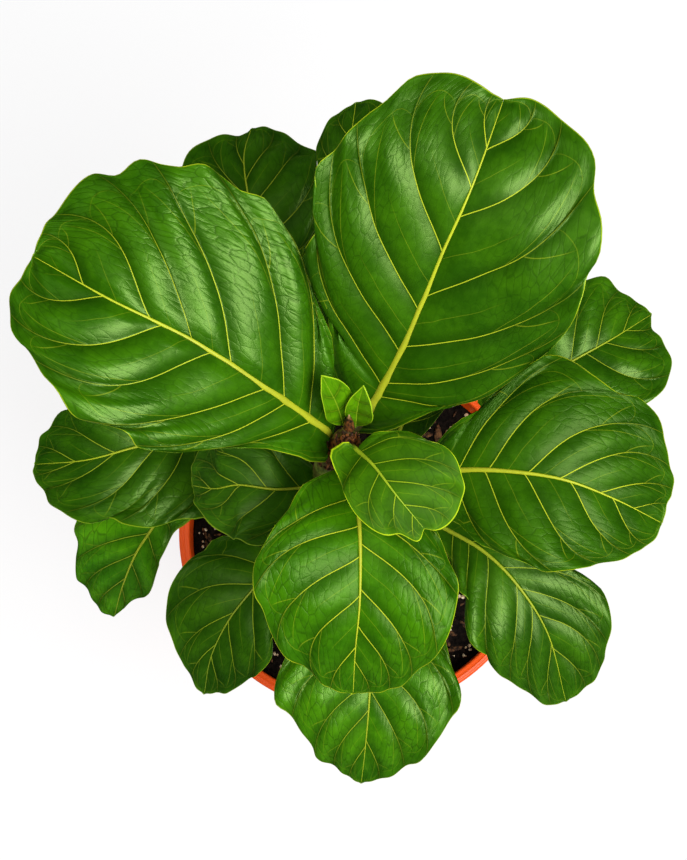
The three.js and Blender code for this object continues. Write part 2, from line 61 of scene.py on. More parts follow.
# ---- The floor and the light -------------------------------------------------------------------------
# A white paper floor, one broad soft box above the plant's lower right, a smaller one from the upper left,
# and a pale room all round.
class Wire:
    """An output in a material's node tree. Sums on it add Math nodes; add() puts in any other node."""

    def __init__(self, tree, output=None):
        self.tree = tree
        self.output = output

    def add(self, kind, settings=(), inputs=(), output=0):
        node = self.tree.nodes.new("ShaderNode" + kind)
        for name, value in dict(settings).items():
            setattr(node, name, value)
        for name, value in dict(inputs).items():
            if isinstance(value, Wire):
                self.tree.links.new(value.output, node.inputs[name])
            else:
                node.inputs[name].default_value = value
        return Wire(self.tree, node.outputs[output] if node.outputs else None)

    def math(self, operation, *values):
        return self.add("Math", {"operation": operation}, dict(enumerate(values)))

    def __add__(self, other):
        return self.math("ADD", self, other)

    def __sub__(self, other):
        return self.math("SUBTRACT", self, other)

    def __rsub__(self, other):
        return self.math("SUBTRACT", other, self)

    def __mul__(self, other):
        return self.math("MULTIPLY", self, other)

    def __truediv__(self, other):
        return self.math("DIVIDE", self, other)

    __radd__ = __add__
    __rmul__ = __mul__

    def rise(self, low, high):
        """0 below low, 1 above high, and smooth between them."""
        return self.add("MapRange", {"interpolation_type": "SMOOTHSTEP"},
                        {"Value": self, "From Min": low, "From Max": high})

    def fall(self, low, high):
        """1 below low and 0 above high."""
        return 1 - self.rise(low, high)

    def tint(self, below, above):
        """The first colour where this is 0 and the second where it is 1."""
        pair = {6: below, 7: above}
        return self.add("Mix", {"data_type": "RGBA"}, {0: self, **pair}, output=2)

    def place(self):
        """Where a point lies on the object, in metres."""
        return self.add("TexCoord", output=3)

    def height(self):
        """How high a point lies, in millimetres."""
        return self.add("SeparateXYZ", {}, {0: self.place()}, output=2) / MM

    def noise(self, scale, detail=2.0, place=None):
        inputs = {"Scale": scale, "Detail": detail, "Roughness": 0.55}
        inputs["Vector"] = place or self.place()
        return self.add("TexNoise", {}, inputs)


def rgb(red, green, blue):
    return (red, green, blue, 1.0)


def new_material(name):
    material = bpy.data.materials.new(name)
    material.use_nodes = True
    material.node_tree.nodes.clear()
    return material, Wire(material.node_tree)


def finish_material(wire, sockets, height=None, depth=0.0):
    """Closes a material with a Principled shader. height, from 0 to 1, is raised by depth millimetres."""
    if height is not None:
        bump = {"Height": height, "Distance": depth * MM, "Strength": 1.0}
        sockets["Normal"] = wire.add("Bump", {}, bump)
    shader = wire.add("BsdfPrincipled", {}, sockets)
    wire.add("OutputMaterial", {}, {"Surface": shader})


FLOOR_HALF = 14000
FLOOR_DROP = 0.4  # below the pot, so that the two faces don't coincide
FLOOR_GLOW = 0.79
LAMP_AIM = (0, 0, 0.4)  # the plant's middle, in metres
ROOM_COLOUR = rgb(0.93, 0.95, 1.0)
ROOM_STRENGTH = 0.24

floor_corners = [(x * FLOOR_HALF * MM, y * FLOOR_HALF * MM, -FLOOR_DROP * MM)
                 for x, y in ((-1, -1), (1, -1), (1, 1), (-1, 1))]
floor_mesh = bpy.data.meshes.new("floor")
floor_mesh.from_pydata(floor_corners, [], [(0, 1, 2, 3)])
floor = bpy.data.objects.new("floor", floor_mesh)
bpy.context.scene.collection.objects.link(floor)
floor_material, paper = new_material("floor_paper")
finish_material(paper, {
    "Base Color": paper.noise(3.0).rise(0.2, 0.8).tint(rgb(0.185, 0.185, 0.185), rgb(0.20, 0.20, 0.20)),
    "Roughness": 0.9,
    "Specular IOR Level": 0.1,
    "Emission Color": rgb(1, 1, 1),
    "Emission Strength": FLOOR_GLOW,
})
floor_mesh.materials.append(floor_material)
floor.visible_glossy = False


def soft_box(name, place, size, power, gloss=True):
    """A square lamp, its place and size in metres, turned to the plant's middle; gloss says whether shiny
    faces mirror it."""
    lamp = bpy.data.objects.new(name, bpy.data.lights.new(name, "AREA"))
    lamp.data.size = size
    lamp.data.energy = power
    lamp.location = place
    aim = np.array(LAMP_AIM) - np.array(place)
    lamp.rotation_euler = (math.acos(-aim[2] / np.linalg.norm(aim)), 0, math.atan2(-aim[0], aim[1]))
    lamp.visible_glossy = gloss
    bpy.context.scene.collection.objects.link(lamp)


soft_box("lamp_key", place=(0.85, -0.7, 2.25), size=1.3, power=66)
soft_box("lamp_fill", place=(-0.9, 0.3, 2.4), size=1.6, power=21, gloss=False)
world = bpy.data.worlds.new("room")
world.use_nodes = True
world.node_tree.nodes["Background"].inputs["Color"].default_value = ROOM_COLOUR
world.node_tree.nodes["Background"].inputs["Strength"].default_value = ROOM_STRENGTH
world.cycles_visibility.glossy = False
bpy.context.scene.world = world


# ---- The pot -----------------------------------------------------------------------------------------
# A 21 cm nursery pot of orange polypropylene, injection moulded in one piece: a tapered wall, a stiffened
# collar, a rolled rim with a fine bead on it, and a floor with drain holes.
POT_HEIGHT = 190
RIM_RADIUS = 105
RIM_INNER = 98.6
COLLAR_FOOT = 166
COLLAR_RADIUS = 102.6
WALL = 2.2
WALL_TOP = 96.4
WALL_FOOT = 73
POT_FLOOR = 3
DRAIN_RADIUS = 5
DRAIN_CIRCLE = 52
DRAIN_COUNT = 8
DRAIN_SIDES = 24
POT_SIDES = 144
WALL_STEPS = 30
FOOT_ROUND = 2.6  # radii of the roundings
COLLAR_ROUND = 1.2
RIM_ROUND = 1.9
RIM_ROUND_INSIDE = 1.6
WALL_START = 2  # height at which the wall begins to widen
SHOULDER = 3  # it ends this far below the collar's foot, and inside twice as far
LIP_FOOT = 7.5  # the rim's lip begins this far below the top
LIP_TOP = 5  # and is full here
COLLAR_TAPER = 1  # how much narrower the collar is inside at its foot
BEAD_FOOT = 0.35  # how far below the top the bead sits
BEAD = [(2.2, -0.25), (2.5, 0), (2.8, 0.3), (3.1, 0), (3.4, -0.25)]  # inwards from the rim, and up
ORANGE_DEEP = rgb(0.95, 0.088, 0.004)
ORANGE_LIGHT = rgb(0.98, 0.105, 0.006)
DUST = rgb(0.42, 0.20, 0.10)


class Shell:
    """Closed skins made of rings of points, gathered into one mesh."""

    def __init__(self):
        self.points = []
        self.faces = []
        self.slots = []
        self.places = []
        self.fields = {}
        self.count = 0

    def skin(self, rings, ends, slots=0, flip=False, fields=None, uv_from=None, uv_to=None):
        """rings: rows x ring x 3 points; ends: the two points that close it; slots: a material for each
        column; fields: named vectors for each point; uv_from, uv_to: each column's two sides on the map."""
        rows, across = rings.shape[:2]
        index = self.count + np.arange(rows * across).reshape(rows, across)
        after = np.roll(index, -1, axis=1)
        quads = np.stack([index[:-1], index[1:], after[1:], after[:-1]], -1).reshape(-1, 4)
        foot, top = self.count + rows * across, self.count + rows * across + 1
        first = np.stack([np.full(across, foot), index[0], after[0]], -1)
        last = np.stack([index[-1], np.full(across, top), after[-1]], -1)
        column = np.broadcast_to(np.broadcast_to(slots, across), (rows - 1, across)).reshape(-1)
        self.slots += [column, np.broadcast_to(slots, across), np.broadcast_to(slots, across)]
        step = -1 if flip else 1
        self.faces += [quads[:, ::step], first[:, ::step], last[:, ::step]]
        self.points += [rings.reshape(-1, 3), np.asarray(ends, float).reshape(2, 3)]
        self.count += rows * across + 2
        for name, values in (fields or {}).items():
            parts = [values.reshape(-1, 3), values[0].mean(0)[None], values[-1].mean(0)[None]]
            self.fields.setdefault(name, []).extend(parts)
        if uv_from is not None:
            corner = np.stack([uv_from[:-1], uv_from[1:], uv_to[1:], uv_to[:-1]], 2).reshape(-1, 4, 2)
            near = np.stack([(uv_from[0] + uv_to[0]) / 2, uv_from[0], uv_to[0]], 1)
            far = np.stack([uv_from[-1], (uv_from[-1] + uv_to[-1]) / 2, uv_to[-1]], 1)
            self.places += [corner[:, ::step], near[:, ::step], far[:, ::step]]

    def build(self, name, materials):
        """The mesh as a piece of the plant, riding on its one body."""
        mesh = bpy.data.meshes.new(name)
        faces = [face for part in self.faces for face in part.tolist()]
        mesh.from_pydata((np.vstack(self.points) * MM).tolist(), [], faces)
        mesh.polygons.foreach_set("material_index", np.concatenate(self.slots).astype(np.int32))
        mesh.polygons.foreach_set("use_smooth", np.ones(len(mesh.polygons), bool))
        for field, parts in self.fields.items():
            made = mesh.attributes.new(field, "FLOAT_VECTOR", "POINT")
            made.data.foreach_set("vector", np.vstack(parts).astype(np.float32).ravel())
        if self.places:
            layer = mesh.uv_layers.new(name="OFBake")
            flat = np.concatenate([part.reshape(-1) for part in self.places])
            layer.data.foreach_set("uv", flat.astype(np.float32))
        for material in materials:
            mesh.materials.append(material)
        piece = bpy.data.objects.new(name, mesh)
        bpy.context.scene.collection.objects.link(piece)
        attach(piece, "root")
        return piece


def lathe(profile, sides):
    """Rings round the Z axis, one for each [radius, height]."""
    turn = np.linspace(0, 2 * np.pi, sides, endpoint=False)
    circle = np.stack([np.cos(turn), np.sin(turn)], -1)
    return np.array([np.column_stack([circle * r, np.full(sides, z)]) for r, z in profile])


def rounded(centre, radius, start, stop, steps=6):
    """Points of an arc in a profile, its angles in degrees from straight out."""
    turns = np.radians(np.linspace(start, stop, steps))
    return [(centre[0] + radius * math.cos(a), centre[1] + radius * math.sin(a)) for a in turns]


def pot_profile():
    """From the foot up the outside, over the rim and down the inside, as (radius, height)."""
    foot = WALL_FOOT - FOOT_ROUND
    outside = [(foot - 0.4, 0), *rounded((foot, FOOT_ROUND), FOOT_ROUND, -90, -8)]
    rise, widen = COLLAR_FOOT - SHOULDER - WALL_START, WALL_TOP - WALL_FOOT
    outside += [(WALL_FOOT + widen * f, WALL_START + rise * f) for f in np.linspace(0.03, 1, WALL_STEPS)]
    step = COLLAR_RADIUS - COLLAR_ROUND
    collar = [(step - 0.4, COLLAR_FOOT - 0.4)]
    collar += rounded((step, COLLAR_FOOT + COLLAR_ROUND), COLLAR_ROUND, -80, 0)
    collar += [(RIM_RADIUS - COLLAR_ROUND - 0.1, POT_HEIGHT - LIP_FOOT)]
    collar += rounded((RIM_RADIUS - COLLAR_ROUND, POT_HEIGHT - LIP_TOP), COLLAR_ROUND, -60, 0, 3)
    rim = rounded((RIM_RADIUS - RIM_ROUND, POT_HEIGHT - RIM_ROUND - 0.1), RIM_ROUND, 0, 75)
    rim += [(RIM_RADIUS - inwards, POT_HEIGHT - BEAD_FOOT + up) for inwards, up in BEAD]
    rim_edge = (RIM_INNER + RIM_ROUND_INSIDE, POT_HEIGHT - RIM_ROUND_INSIDE - 0.5)
    rim += rounded(rim_edge, RIM_ROUND_INSIDE, 90, 180)
    inside = [(RIM_INNER - COLLAR_TAPER, COLLAR_FOOT), (WALL_TOP - WALL, COLLAR_FOOT - 2 * SHOULDER)]
    inside += [(WALL_FOOT - WALL, POT_FLOOR), (WALL_FOOT - WALL - 8, POT_FLOOR)]
    return outside + collar + rim + inside


def plastic():
    """Orange, faintly clouded and specked, and dusty towards the ground."""
    material, wire = new_material("orange_plastic")
    cloud = wire.noise(14.0, 4.0)
    speck = wire.noise(900.0, 2.0)
    colour = cloud.rise(0.25, 0.75).tint(ORANGE_DEEP, ORANGE_LIGHT)
    dust = wire.height().fall(0, 60) * wire.noise(60.0, 5.0).rise(0.45, 0.8) * 0.35
    colour = dust.tint(colour, DUST)
    roughness = 0.34 + cloud.rise(0.3, 0.8) * 0.12 + dust * 0.3
    finish_material(wire, {"Base Color": colour, "Roughness": roughness, "IOR": 1.49},
                    speck * 0.5 + cloud * 0.5, 0.05)
    return material


def drain_cutter():
    """A ring of pegs, as one piece, that cuts the drain holes."""
    cutter = Shell()
    rings = lathe([(DRAIN_RADIUS, -POT_FLOOR), (DRAIN_RADIUS, 2 * POT_FLOOR)], DRAIN_SIDES)
    for k in range(DRAIN_COUNT):
        turn = 2 * math.pi * k / DRAIN_COUNT
        shift = np.array([DRAIN_CIRCLE * math.cos(turn), DRAIN_CIRCLE * math.sin(turn), 0])
        ends = shift + np.array([[0, 0, -POT_FLOOR], [0, 0, 2 * POT_FLOOR]])
        cutter.skin(rings + shift, ends, flip=True)
    return cutter.build("drain_cutter", [])


def cut_away(piece, cutter):
    """Cuts one piece out of another, and removes the cutter."""
    cut = piece.modifiers.new("cut", "BOOLEAN")
    cut.operation = "DIFFERENCE"
    cut.solver = "EXACT"
    cut.object = cutter
    shape = piece.evaluated_get(bpy.context.evaluated_depsgraph_get())
    whole = piece.data
    piece.data = bpy.data.meshes.new_from_object(shape)
    piece.modifiers.clear()
    bpy.data.meshes.remove(whole)
    bpy.data.objects.remove(cutter)


pot_shell = Shell()
pot_shell.skin(lathe(pot_profile(), POT_SIDES), [(0, 0, 0), (0, 0, POT_FLOOR)], flip=True)
pot = pot_shell.build("pot_moulded", [plastic()])
cut_away(pot, drain_cutter())
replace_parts(pot, "pot")


# ---- The soil ----------------------------------------------------------------------------------------
# Black potting mix of peat and fine bark, pressed in by hand to a lumpy surface, with white perlite grains
# and brown chips of bark in it.
SOIL_LEVEL = 171
SOIL_LUMP = 2.2  # height of its lumps
SOIL_CRUMB = 0.7  # and of the crumbs on them
SOIL_EDGE = 97.5
SOIL_CLEAR = 0.5  # between the soil and the pot's wall
SOIL_GAP = 0.3  # and above its floor
SOIL_RINGS = 66
SOIL_SIDES = 180
PERLITE_COUNT = 300
PERLITE_SIZE = (0.45, 1.25)
CHIP_COUNT = 420
CHIP_LENGTH = (1.5, 6.5)
STEM_CLEAR = 12  # no grain lies nearer to the stem's middle
GRAIN_SIDES = 7
PEAT_DARK = rgb(0.0015, 0.0009, 0.0006)
PEAT_LIGHT = rgb(0.010, 0.006, 0.004)
FIBRE = rgb(0.060, 0.028, 0.011)
PERLITE_COLOURS = rgb(0.40, 0.27, 0.14), rgb(0.88, 0.74, 0.52)
CHIP_COLOURS = rgb(0.010, 0.004, 0.002), rgb(0.15, 0.065, 0.022)
# Grains that show between the leaves in the photo: x, y.
PERLITE_SEEN = [(-94, 1), (-92, -4), (-92, -7), (-46, -77), (55, -71), (64, -65), (63, 71)]
BARE_SPOT = (-6, 62)  # the middle of a patch without grains
BARE_RADIUS = 30
draw = np.random.default_rng(7)


def soil_height(x, y):
    """The height of the soil: broad lumps with crumbs on them, and level along the pot's wall."""
    lump = np.sin(x * 0.11 + 1) * np.cos(y * 0.13) + 0.6 * np.sin(x * 0.23 - y * 0.19)
    crumb = np.sin(x * 0.9 + 2 * np.sin(y * 0.53)) * np.sin(y * 0.83 + 1.7 * np.sin(x * 0.61))
    fade = np.clip((SOIL_EDGE - np.hypot(x, y)) / 8, 0, 1)
    return SOIL_LEVEL + (SOIL_LUMP * lump + SOIL_CRUMB * crumb) * fade


def potting_mix():
    """Nearly black peat with brown fibres in it."""
    material, wire = new_material("potting_mix")
    fine = wire.noise(420.0, 8.0)
    crumb = wire.noise(140.0, 6.0)
    fibre = wire.add("TexVoronoi", {}, {"Scale": 260.0, "Vector": wire.place()})
    colour = fine.rise(0.35, 0.7).tint(PEAT_DARK, PEAT_LIGHT)
    colour = (fibre.fall(0.0, 0.25) * crumb.rise(0.5, 0.65)).tint(colour, FIBRE)
    finish_material(wire, {"Base Color": colour, "Roughness": 0.93, "Specular IOR Level": 0.12},
                    fine * 0.5 + crumb * 0.5, 2.2)
    return material


def pebble(shell, place, radii, lumpiness, turn):
    """A lumpy grain: its three half sizes, how uneven it is, and the way that it lies."""
    rings = lathe(rounded((0, 0), 1, -70, 70, 5), GRAIN_SIDES)
    rings *= 1 + lumpiness * draw.uniform(-1, 1, rings.shape[:2] + (1,))
    spin = np.array([[math.cos(turn), -math.sin(turn), 0], [math.sin(turn), math.cos(turn), 0], [0, 0, 1]])
    lean = draw.uniform(-0.35, 0.35)
    tilt = np.array([[1, 0, 0], [0, math.cos(lean), -math.sin(lean)], [0, math.sin(lean), math.cos(lean)]])
    ends = np.array([[0, 0, -1.0], [0, 0, 1.0]])
    lie = tilt.T @ spin.T
    shell.skin((rings * radii) @ lie + place, (ends * radii) @ lie + place, flip=True)


def scatter(count, margin):
    """Even random places on the soil, clear of the stem, of the wall and of one bare patch."""
    places = []
    while len(places) < count:
        x, y = draw.uniform(-SOIL_EDGE, SOIL_EDGE, 2)
        on_soil = STEM_CLEAR < math.hypot(x, y) < SOIL_EDGE - margin
        if on_soil and math.dist((x, y), BARE_SPOT) > BARE_RADIUS:
            places.append((x, y))
    return places


def grain_material(name, colours, scale, depth):
    """Dull and spotted, from the first colour to the second."""
    material, wire = new_material(name)
    spots = wire.noise(scale, 5.0)
    colour = spots.rise(0.35, 0.7).tint(*colours)
    sockets = {"Base Color": colour, "Roughness": 0.88, "Specular IOR Level": 0.3}
    finish_material(wire, sockets, spots, depth)
    return material


soil_foot = POT_FLOOR + SOIL_GAP
soil_side = [(WALL_FOOT - WALL - SOIL_CLEAR, soil_foot),
             (WALL_TOP - WALL - SOIL_CLEAR, COLLAR_FOOT - 2 * SHOULDER),
             (RIM_INNER - COLLAR_TAPER - SOIL_CLEAR, COLLAR_FOOT),
             (SOIL_EDGE, SOIL_LEVEL)]
soil_face = [(r, SOIL_LEVEL) for r in np.linspace(SOIL_EDGE - 1, 1.5, SOIL_RINGS)]
soil_rings = lathe(soil_side + soil_face, SOIL_SIDES)
soil_top = soil_rings[len(soil_side):]
soil_top[..., 2] = soil_height(soil_top[..., 0], soil_top[..., 1])
soil_shell = Shell()
soil_shell.skin(soil_rings, [(0, 0, soil_foot), (0, 0, SOIL_LEVEL)], flip=True)
soil = soil_shell.build("soil_mix", [potting_mix()])
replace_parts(soil, "soil")

perlite = Shell()
for x, y in PERLITE_SEEN + scatter(PERLITE_COUNT, margin=2):
    size = draw.uniform(*PERLITE_SIZE)
    place = (x, y, soil_height(x, y) + size * 0.35)
    pebble(perlite, place, size * draw.uniform(0.75, 1.2, 3), lumpiness=0.16, turn=draw.uniform(0, 6))
perlite_white = grain_material("perlite", PERLITE_COLOURS, scale=700.0, depth=0.25)
perlite.build("perlite_grains", [perlite_white])

chips = Shell()
for x, y in scatter(CHIP_COUNT, margin=6):
    long = draw.uniform(*CHIP_LENGTH)
    radii = (long, long * draw.uniform(0.15, 0.4), draw.uniform(0.4, 1.0))
    place = (x, y, soil_height(x, y) + 0.4)
    pebble(chips, place, radii, lumpiness=0.14, turn=draw.uniform(0, 6))
chip_brown = grain_material("bark_chip", CHIP_COLOURS, scale=500.0, depth=0.4)
chips.build("bark_chips", [chip_brown])


# ---- The stem ----------------------------------------------------------------------------------------
# One upright stem, woody and grey-brown in the soil and green towards the tip, with the rings that fallen
# leaves left and small corky pores.
STEM_LINE = [(0, 0, 112), (0, 0, 175), (1, -1, 240), (-1, -3, 310), (-8, -6, 380), (-15, -5, 440),
             (-18, -2, 472), (-13.5, 2, 500), (-7, 9.5, 520)]
STEM_RADII = [8.2, 8.4, 7.8, 7.2, 6.6, 6.2, 6.2, 5.8, 4.8]
STEM_SIDES = 40
STEM_STEPS = 30  # rings between two of its points
STEM_SCARS = 10
SCAR_RISE = 0.7  # how far the ring of a scar stands out
SCAR_SHARP = 14  # and how narrow it is
TIP_FOOT = 512  # above this height it gets slimmer, by TIP_SLIM over TIP_LENGTH
TIP_LENGTH = 8
TIP_SLIM = 2.2
WOOD = rgb(0.10, 0.065, 0.035), rgb(0.26, 0.19, 0.11)
GREEN_BARK = rgb(0.060, 0.095, 0.006), rgb(0.17, 0.23, 0.018)
PORE = rgb(0.30, 0.21, 0.11)
RUSSET = rgb(0.09, 0.022, 0.006)
BUD_BROWN = rgb(0.028, 0.010, 0.004)
TIP_OLIVE = rgb(0.10, 0.085, 0.010)
# Heights over which one colour of the bark gives way to the next.
TURNS_GREEN = (380, 480)
TURNS_RUSSET = (474, 490)
TURNS_BROWN = (494, 506)
TURNS_OLIVE = (513, 518)


def smooth_line(points, steps=48):
    """Points along a centripetal Catmull-Rom curve through the given ones."""
    p = np.array(points, float)
    p = np.vstack([2 * p[0] - p[1], p, 2 * p[-1] - p[-2]])
    t = np.linspace(0, 1, steps, endpoint=False)[:, None]
    parts = []
    for a, b, c, d in zip(p, p[1:], p[2:], p[3:]):
        da, db, dc = (np.linalg.norm(v) ** 0.5 for v in (b - a, c - b, d - c))
        leave = ((b - a) / da - (c - a) / (da + db) + (c - b) / db) * db
        arrive = ((c - b) / db - (d - b) / (db + dc) + (d - c) / dc) * db
        parts.append(b + leave * t + (3 * (c - b) - 2 * leave - arrive) * t ** 2
                     + (2 * (b - c) + leave + arrive) * t ** 3)
    parts.append(p[-2][None])
    return np.vstack(parts)


def lengths(line):
    """The distance along a line to each of its points."""
    return np.concatenate([[0], np.cumsum(np.linalg.norm(np.diff(line, axis=0), axis=1))])


def at_lengths(line, run, wanted):
    """The points of a line at given distances along it."""
    return np.stack([np.interp(wanted, run, line[:, k]) for k in range(line.shape[1])], -1)


def unit(vectors):
    """The same directions, with length 1."""
    return vectors / np.maximum(np.linalg.norm(vectors, axis=-1, keepdims=True), 1e-12)


def tube_rings(line, across, wide, over, under, sides):
    """Oval rings round a line: half widths, and how far each stands over and under the line."""
    heading = unit(np.gradient(line, axis=0))
    across = unit(across - (across * heading).sum(-1, keepdims=True) * heading)
    above = np.cross(heading, across)
    turn = np.linspace(0, 2 * np.pi, sides, endpoint=False)
    lift = np.where(np.sin(turn) > 0, over[:, None], under[:, None]) * np.sin(turn)
    return (line[:, None] + across[:, None] * (wide[:, None] * np.cos(turn))[..., None]
            + above[:, None] * lift[..., None])


def bark():
    """Grey-brown wood with corky pores, turning green, then russet and brown towards the tip."""
    material, wire = new_material("green_bark")
    height = wire.height()
    squeeze = wire.add("VectorMath", {"operation": "MULTIPLY"}, {0: wire.place(), 1: (1.0, 1.0, 0.35)})
    grain = wire.noise(520.0, 6.0, squeeze)
    cloud = wire.noise(60.0, 4.0)
    pore = wire.add("TexVoronoi", {}, {"Scale": 210.0, "Vector": squeeze})
    wood = grain.rise(0.3, 0.75).tint(*WOOD)
    green = grain.rise(0.3, 0.75).tint(*GREEN_BARK)
    colour = (height + cloud * 90).rise(*TURNS_GREEN).tint(wood, green)
    colour = (pore.fall(0.05, 0.22) * 0.6).tint(colour, PORE)
    russet = (height + cloud * 14).rise(*TURNS_RUSSET) * cloud.rise(0.35, 0.6)
    colour = (russet * 0.8).tint(colour, RUSSET)
    colour = (height + cloud * 8).rise(*TURNS_BROWN).tint(colour, BUD_BROWN)
    olive = (height + cloud * 6).rise(*TURNS_OLIVE) * grain.rise(0.4, 0.6)
    colour = olive.tint(colour, TIP_OLIVE)
    sockets = {"Base Color": colour, "Roughness": 0.62 + grain * 0.25, "Specular IOR Level": 0.35}
    finish_material(wire, sockets, grain * 0.6 + pore.fall(0.05, 0.2) * 0.4, 0.5)
    return material


stem_line = smooth_line(STEM_LINE, STEM_STEPS)
stem_at = np.linspace(0, 1, len(stem_line))
stem_radius = np.interp(stem_at, np.linspace(0, 1, len(STEM_RADII)), STEM_RADII)
past_scar = (stem_at * STEM_SCARS) % 1
scar = np.exp(-((past_scar - 0.02) * SCAR_SHARP) ** 2) + np.exp(-((past_scar - 1.02) * SCAR_SHARP) ** 2)
slim = np.clip((stem_line[:, 2] - TIP_FOOT) / TIP_LENGTH, 0, 1) ** 2
stem_radius = stem_radius + SCAR_RISE * scar - TIP_SLIM * slim
across_stem = np.array([1.0, 0, 0]) + 0 * stem_line
stem_rings = tube_rings(stem_line, across_stem, stem_radius, stem_radius, stem_radius, STEM_SIDES)
stem_shell = Shell()
stem_shell.skin(stem_rings, [stem_line[0], stem_line[-1] + (0, 0, 1)])
stem = stem_shell.build("stem_bark", [bark()])
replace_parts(stem, "stem")


# ---- The leaves --------------------------------------------------------------------------------------
# Leathery glossy blades, each one grown as one piece with its petiole and midrib: a raised yellow midrib,
# side veins sunk in the upper face with the blade bulging between them, and a waved, pale-lined edge.
BLADE = 0.6  # thickness of a blade
LARGE_STALK = 2.6  # radius of the largest petiole
RIB_TIP = 0.2  # half width of the midrib at the blade's tip
RIB_OVER = 1.3  # how far the midrib stands above the blade at its base
RIB_UNDER = 1.9  # and below it
RIB_SINK = 0.8  # how fast both sink towards the tip
RIB_LEFT = (0.1, 0.2)  # what is left of them there
RIB_STEPS = 90
PETIOLE_STEPS = 40
PETIOLE_SIDES = 14
PETIOLE_SINK = 0.7  # how far it runs below its line
PETIOLE_SWELL = 0.28  # how much thicker it is at the stem
PETIOLE_LEAVE = (0.8, 0.6)  # its way off the stem: outwards and upwards
PETIOLE_BEND = (0.35, 0.3)  # shares of its span over which it bends, at the stem and at the blade
COLUMN = 1.7  # width of the blade's facets, across
# Shares of the way from one side vein to the next at which the blade has a row of points.
BETWEEN = [0, 0.025, 0.06, 0.12, 0.2, 0.3, 0.4, 0.5, 0.6, 0.7, 0.8, 0.88, 0.94, 0.975]

